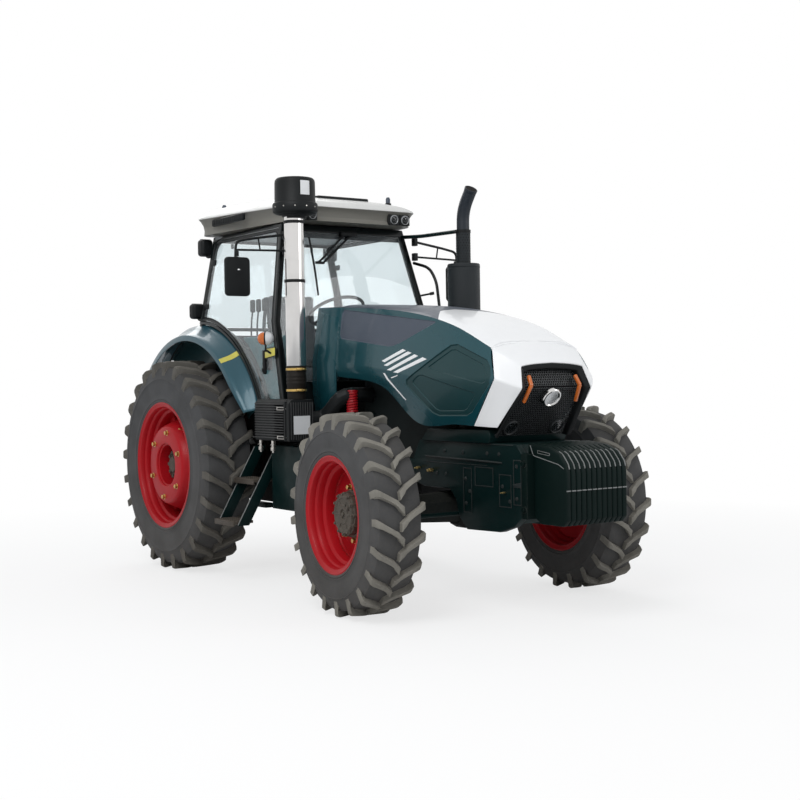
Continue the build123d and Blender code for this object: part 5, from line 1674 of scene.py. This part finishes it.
def exhaust_pipe():
    """A hatched silencer drum, a perforated sleeve with its clamp, and a curved end; the sleeve's holes are
    black dots and the end's opening a black disc, soot and painted shade for the pipe's dark inside.
    """
    x, y = 1.925, 0.590
    centre = Matrix.Translation((x, y, 0))
    drum_body = turned_up([(0.050, 1.502), (0.118, 1.502), (0.123, 1.508), (0.123, 2.360), (0.118, 2.368),
                           (0.058, 2.369)], 72)
    hoops = [turned_up([(0.122, z), (0.1245, z + 0.003), (0.1245, z + 0.013), (0.122, z + 0.016)], 72)
             for z in (1.520, 2.336)]
    sleeve = turned_up([(0.050, 2.360), (0.0545, 2.362), (0.0545, 2.600), (0.050, 2.604)], 48)
    # black dots for the sleeve's holes: painted shade for the dark inside
    holes = [outward(0.0542, 2 * pi * (k + 0.5 * (i % 2)) / 16, 2.384 + 0.020 * i) for i in range(11)
             for k in range(16)]
    hole_shade_dots = repeated(drum((0, 0, -0.001), (0, 0, 0.0008), 0.0045, 6, 0), holes)
    route = rounded([(x, y, 2.590), (x, y, 2.770), (x + 0.105, y, 2.9175)], 0.10, 12)
    bend = tube(route, 0.048, 0, 28)
    way = (Vector(route[-1]) - Vector(route[-2])).normalized()
    lip_place = facing(route[-1], way) @ UPRIGHT
    lip_profile = [(0.042, -0.020), (0.048, -0.020), (0.050, -0.012), (0.050, 0.004), (0.046, 0.006),
                   (0.042, 0.004)]
    lip = moved(turned(lip_profile, 48), lip_place)
    # a black disc across the pipe's mouth: soot and painted shade for its dark inside
    mouth_shade_disc = moved(turned([(0.0, 0.0005), (0.043, 0.0005), (0.043, 0.0025), (0.0, 0.0025)], 40), lip_place)
    clamp = together(spun(clamp_band(2.612, 0.0535, 0.024), 200),
                     cuboid((-0.006, -0.074, 2.604), (0.006, -0.050, 2.622), 0.003))
    inlet = tube([(x, y, 1.510), (x, y, 1.380), (x, 0.230, 1.380)], 0.050, 0.07, 16)
    upper = together(painted(moved(together(drum_body, *hoops, sleeve), centre), 0),
                     painted(together(bend, lip, inlet), 1), painted(together(moved(hole_shade_dots, centre), mouth_shade_disc),
                                                                     2), painted(moved(clamp, centre), 3))
    piece("exhaust_stack", upper, [SILENCER, BLUED, FLOOR_MAT, PLASTIC], "chassis",
          "exhaust", 40)


# ---------------------------------------------------------------- weights and front frame
PLATE_OUTLINE = [(3.702, 0.650), (3.760, 0.615), (3.960, 0.615), (3.994, 0.652), (3.994, 0.930),
                 (3.981, 0.988), (3.929, 1.048), (3.830, 1.0865), (3.650, 1.1035), (3.650, 1.043),
                 (3.702, 1.042)]


def weights():
    """Twelve hooked plates on their carrier, with a clamping bar across; bright bars along their top bends,
    partly worn paint and partly painted highlight, and painted highlight lines round the end plates' outer
    faces.
    """
    plate_thick, plate_places = 0.0378, [Matrix.Translation((0, -0.246 + 0.0414 * i, 0)) for i in range(12)]
    plates = repeated(slab(PLATE_OUTLINE, "y", 0.0, plate_thick, 0.0075, 4), plate_places)
    cleats = repeated(cuboid((3.9935, 0.002, 0.8255), (3.9975, 0.0358, 0.8325), 0.0012, 2), plate_places)
    # painted highlight and worn paint: a bright bar along each plate's top bend
    y = plate_thick / 2 + 0.012
    bend = tube([(3.902, y, 1.0585), (3.931, y, 1.0455), (3.9805, y, 0.9870), (3.9895, y, 0.958)], 0.0040,
                0.018, 8)
    bends = repeated(bend, plate_places)
    # painted highlights: bright lines round the outer faces of the two end plates
    line = []
    for side in (1, -1):
        y = side * 0.2474
        line += [tube([(3.672, y, 1.090), (3.700, y, 1.030), (3.930, y, 0.985), (3.975, y, 0.962)], 0.0024,
                      0.012, 6), tube([(3.740, y, 1.062), (3.850, y, 1.048), (3.850, y, 1.034),
                                       (3.740, y, 1.046)], 0.0018, 0.006, 6, True)]
    carrier = slab([(3.642, 0.640), (3.700, 0.640), (3.700, 1.040), (3.642, 1.040)], "y", -0.300, 0.300,
                   0.006)
    pins = bolts([((3.671, side * 0.300, z), (0, side, 0)) for side in (1, -1) for z in (0.700, 0.980)],
                 0.030, 0.016)
    whole = together(painted(together(plates, carrier, pins), 0), painted(together(bends, cleats, *line), 1))
    piece("ballast_plates", whole, [BALLAST, WEAR_AND_HIGHLIGHT], "chassis", "front_weights",
          35)


def frame_fittings():
    """Brackets, cover plates, pockets, pipes and bolt rows on the front frame's flanks."""
    black, steel, brass = [], [], []
    plates = [(3.050, 3.140, 0.640, 0.930), (3.173, 3.362, 0.818, 0.942), (3.420, 3.540, 0.700, 0.905),
              (3.560, 3.636, 0.720, 1.000)]
    for side in (1, -1):
        y = side * 0.290
        for x0, x1, z0, z1 in plates:
            outer = [(x0, z0), (x1, z0), (x1, z1), (x0, z1)]
            black.append(framed(outer, drawn_in(outer, 0.006), "y", *sorted((y - 0.001, y + side * 0.004)),
                                0.0014, 2))
        near, far = sorted((y, y + side * 0.004))
        black.append(cuboid((2.640, near, 0.950), (3.300, far, 0.9545), 0.0014))
        black.append(cuboid((2.640, near, 1.086), (3.560, far, 1.0915), 0.0014))
        wedge = [(3.640, 0.830), (3.560, 0.830), (3.560, 0.850), (3.640, 0.862)]
        black.append(slab(wedge, "y", *sorted((y - side * 0.002, y + side * 0.008)), 0.002))
        for x, z in ((3.075, 0.700), (3.075, 0.860), (3.115, 0.780), (3.450, 0.830), (3.520, 0.740),
                     (3.590, 0.760), (3.590, 0.960), (3.300, 1.030), (3.050, 1.030), (2.850, 1.030),
                     (3.420, 1.030), (2.760, 0.880), (2.860, 0.880)):
            steel.append(((x, y, z), (0, side, 0)))
        pipe = [(2.640, y + side * 0.010, 0.990), (3.020, y + side * 0.012, 0.985), (3.400, y + side * 0.010,
                                                                                     0.978), (3.450, y,
                                                                                              0.975)]
        black.append(tube(pipe, 0.0055, 0.02, 8))
        for x, z, size in ((2.706, 0.896, 0.014), (2.561, 0.906, 0.010), (3.479, 0.793, 0.006)):
            brass += [drum((x, y, z), (x, y + side * 0.030, z), size, 6, 0.002),
                      drum((x, y + side * 0.028, z), (x, y + side * 0.044, z), size * 0.6, 16, 0.001)]
    whole = together(painted(together(*black, bolts(steel, 0.017, 0.008)), 0), painted(together(*brass), 1))
    piece("frame_fittings", whole, [FRAME_EDGE, BRASS], "chassis", (), 35)
    lip = slab([(3.365, 1.142), (3.350, 1.178), (3.346, 1.176), (3.361, 1.140)], "y", -0.290, 0.290, 0.001, 1)
    dimples = repeated(drum((0, 0, -0.001), (0, 0, 0.0015), 0.0042, 6, 0),
                       [facing((3.3595, y * 0.0165, 1.160 + 0.010 * ((y % 2) - 0.5)), (0.92, 0, 0.39))
                        for y in range(-16, 17)])
    piece("grille_lip", together(painted(lip, 0), painted(dimples, 1)), [PLASTIC, MESH_WIRE], "chassis")


def sprung_stay():
    """A sprung stay under the intake hose: a red coil on its rod, between a bracket and two cups."""
    x, y, radius = 1.905, -0.410, 0.034
    count, low, high = 116, 1.281, 1.428
    rise = [low + (high - low) * min(max((i - 10) / (count - 20), 0), 1) for i in range(count + 1)]
    turns = [(x + radius * cos(pi * i / 6), y + radius * sin(pi * i / 6), z) for i, z in enumerate(rise)]
    coil = tube(turns, 0.0088, 0, 8)
    rod = drum((x, y, 1.250), (x, y, 1.452), 0.012, 16)
    cups = [drum((x, y, z), (x, y, z + 0.006), 0.044, 24) for z in (1.2660, 1.4375)]
    bracket = cuboid((x - 0.025, y - 0.040, 1.255), (x + 0.025, -0.222, 1.2665), 0.003)
    piece("sprung_stay", together(painted(coil, 0), painted(together(rod, *cups, bracket), 1)),
          [COIL_RED, BLACK], "chassis")


# ---------------------------------------------------------------- steps and fenders
def ladder_steps():
    """Stiles with rubbed edges and slip-proof treads."""
    low, high, lean = 0.440, 1.010, 325 / 570
    outline = [(0.870, low), (0.960, low), (0.960 - lean * (high - low), high), (0.870 - lean * (high - low),
                                                                                 high)]
    stiles = [slab([(a, b) for a, b in outline], "x", x, x + 0.008, 0.002) for x in (0.851, 1.171)]
    edge = [tube([(x, 0.962 - lean * t, low + 0.006 + t) for t in (0.0, high - low - 0.012)], 0.0035, 0, 6)
            for x in (0.855, 1.175)]
    treads, studs = [], []
    for y, z in ((0.925, 0.455), (0.925 - lean * 0.300, 0.755)):
        treads += [cuboid((0.860, y - 0.093, z), (1.170, y + 0.073, z + 0.022), 0.003),
                   cuboid((0.860, y + 0.062, z - 0.018), (1.170, y + 0.073, z + 0.004), 0.003)]
        studs += [Matrix.Translation((0.885 + 0.030 * i, y - 0.070 + 0.032 * k, z + 0.0215))
                  for i in range(10) for k in range(5)]
    knobs = repeated(drum((0, 0, 0), (0, 0, 0.004), 0.006, 8, 0.001, 0.004, 1), studs)
    whole = together(painted(together(*stiles), 0), painted(together(*edge), 1),
                     painted(together(*treads, knobs), 2))
    piece("ladder", both_sides(whole), [BLACK, WEAR_AND_HIGHLIGHT, STEP_TREAD], "chassis", "steps", 35)


# (radius, y) round its wall
FENDER_SECTION = [(1.003, 0.822), (1.046, 0.820), (1.060, 0.788), (1.080, 0.746), (1.100, 0.716),
                  (1.126, 0.688), (1.133, 0.660), (1.135, 0.604), (1.127, 0.604), (1.125, 0.660),
                  (1.118, 0.680), (1.092, 0.708), (1.072, 0.740), (1.052, 0.784), (1.040, 0.811),
                  (1.003, 0.811)]
FRONT_ANGLE, SWEEP, TAPER_ANGLE = 24.0, 110.0, 44.0


def fender_crown():
    """The pressed arch, swept from front to rear and narrowed towards its front tip."""
    shape = bmesh.new()
    ring = [shape.verts.new((r, y, 0)) for r, y in FENDER_SECTION]
    face = shape.faces.new(ring)
    bmesh.ops.rotate(shape, verts=shape.verts, cent=(0, 0, 0), matrix=Matrix.Rotation(radians(-FRONT_ANGLE),
                                                                                      3, "Y"))
    bmesh.ops.spin(shape, geom=[face] + face.edges[:] + ring, cent=(0, 0, 0), axis=(0, 1, 0), dvec=(0, 0, 0),
                   angle=radians(-SWEEP), steps=88, use_merge=False, use_normal_flip=False,
                   use_duplicate=False)
    bmesh.ops.remove_doubles(shape, verts=shape.verts, dist=1e-5)
    bmesh.ops.recalc_face_normals(shape, faces=shape.faces)
    ease(shape, 0.0012, 1, 60)
    for v in shape.verts:
        turn = atan2(v.co.z, v.co.x)
        if turn < radians(TAPER_ANGLE):
            share = ((radians(TAPER_ANGLE) - turn) / radians(TAPER_ANGLE - FRONT_ANGLE)) ** 2
            keep = 1.0 - 0.45 * share
            reach = 1.085 + (sqrt(v.co.x ** 2 + v.co.z ** 2) - 1.085) * keep
            v.co = (reach * cos(turn), 0.735 + (v.co.y - 0.735) * keep, reach * sin(turn))
    return shape


def arch_strip(near, far):
    """An unthickened strip round the wheel between two (radius, y) lines, and its faces."""
    shape = bmesh.new()
    turns = [30.0 + 2.5 * i for i in range(41)]
    a, b = ([shape.verts.new(polar(r, turn, y)) for turn in turns] for r, y in (near, far))
    faces = [shape.faces.new(four) for four in zip(a, a[1:], b[1:], b)]
    bmesh.ops.recalc_face_normals(shape, faces=faces)
    return shape, faces


def fender_shell():
    """A pressed arch over the inner half of each tyre: a rolled crown, an inner wall and a rubber edge."""
    inner = thickened(*arch_strip((1.128, 0.578), (0.740, 0.578)), (0, 0.006, 0))
    hem = solid(arch_strip((1.122, 0.578), (1.122, 0.606))[0], 0.006)
    edge = tube([polar(1.131, FRONT_ANGLE + SWEEP * i / 60, 0.606) for i in range(61)], 0.0085, 0, 10)
    strip = bmesh.new()
    rail = [(1.0462, 0.8205), (1.0615, 0.788), (1.0815, 0.746), (1.1015, 0.716), (1.1280, 0.688)]
    rows = [[strip.verts.new(polar(r, turn, y + 0.0008)) for r, y in rail] for turn in (50.6, 52.0, 53.4)]
    for a, b in zip(rows, rows[1:]):
        for four in zip(a, a[1:], b[1:], b):
            strip.faces.new(four)
    bmesh.ops.recalc_face_normals(strip, faces=strip.faces)
    solid(strip, 0.0012)
    return together(painted(fender_crown(), 0), painted(edge, 1), painted(strip, 2),
                    painted(together(inner, hem), 3))


def fenders():
    """The two fenders over the rear wheels."""
    left = moved(fender_shell(), Matrix.Translation((0, 0, REAR["tip"])))
    paints = [FENDER_TEAL, RUBBER, YELLOW, TEAL_DEEP]
    piece("wing_left", left.copy(), paints, "chassis", "fender_left", 34)
    piece("wing_right", moved(left, MIRROR), paints, "chassis", "fender_right", 34)


intake()
pre_cleaner()
cleaner_box()
exhaust_pipe()
weights()
frame_fittings()
sprung_stay()
ladder_steps()
fenders()


# ---------------------------------------------------------------- nodes shown as they are, with a finish
DRESS = {"engine_block": CAST, "gearbox_housing": CAST, "rear_axle": CAST, "rocker_case": CAST,
         "front_frame": BLACK, "front_axle": CAST, "steering_rod": BLACK, "knuckle_left": CAST,
         "knuckle_right": CAST, "drive_shaft": BLACK, "radiator": PLASTIC, "fuel_tank": PLASTIC,
         "battery_box": BLACK, "intake_hose": PLASTIC, "lower_links": BLACK, "link_pins": STEEL,
         "lift_arms": BLACK, "lift_rods": BLACK, "top_link": BLACK, "top_link_bracket": BLACK,
         "drawbar": BLACK, "pto_shaft": STEEL, "cab_floor": FLOOR_MAT, "cowl": TEAL}
for node, material in DRESS.items():
    dressed(node, material)
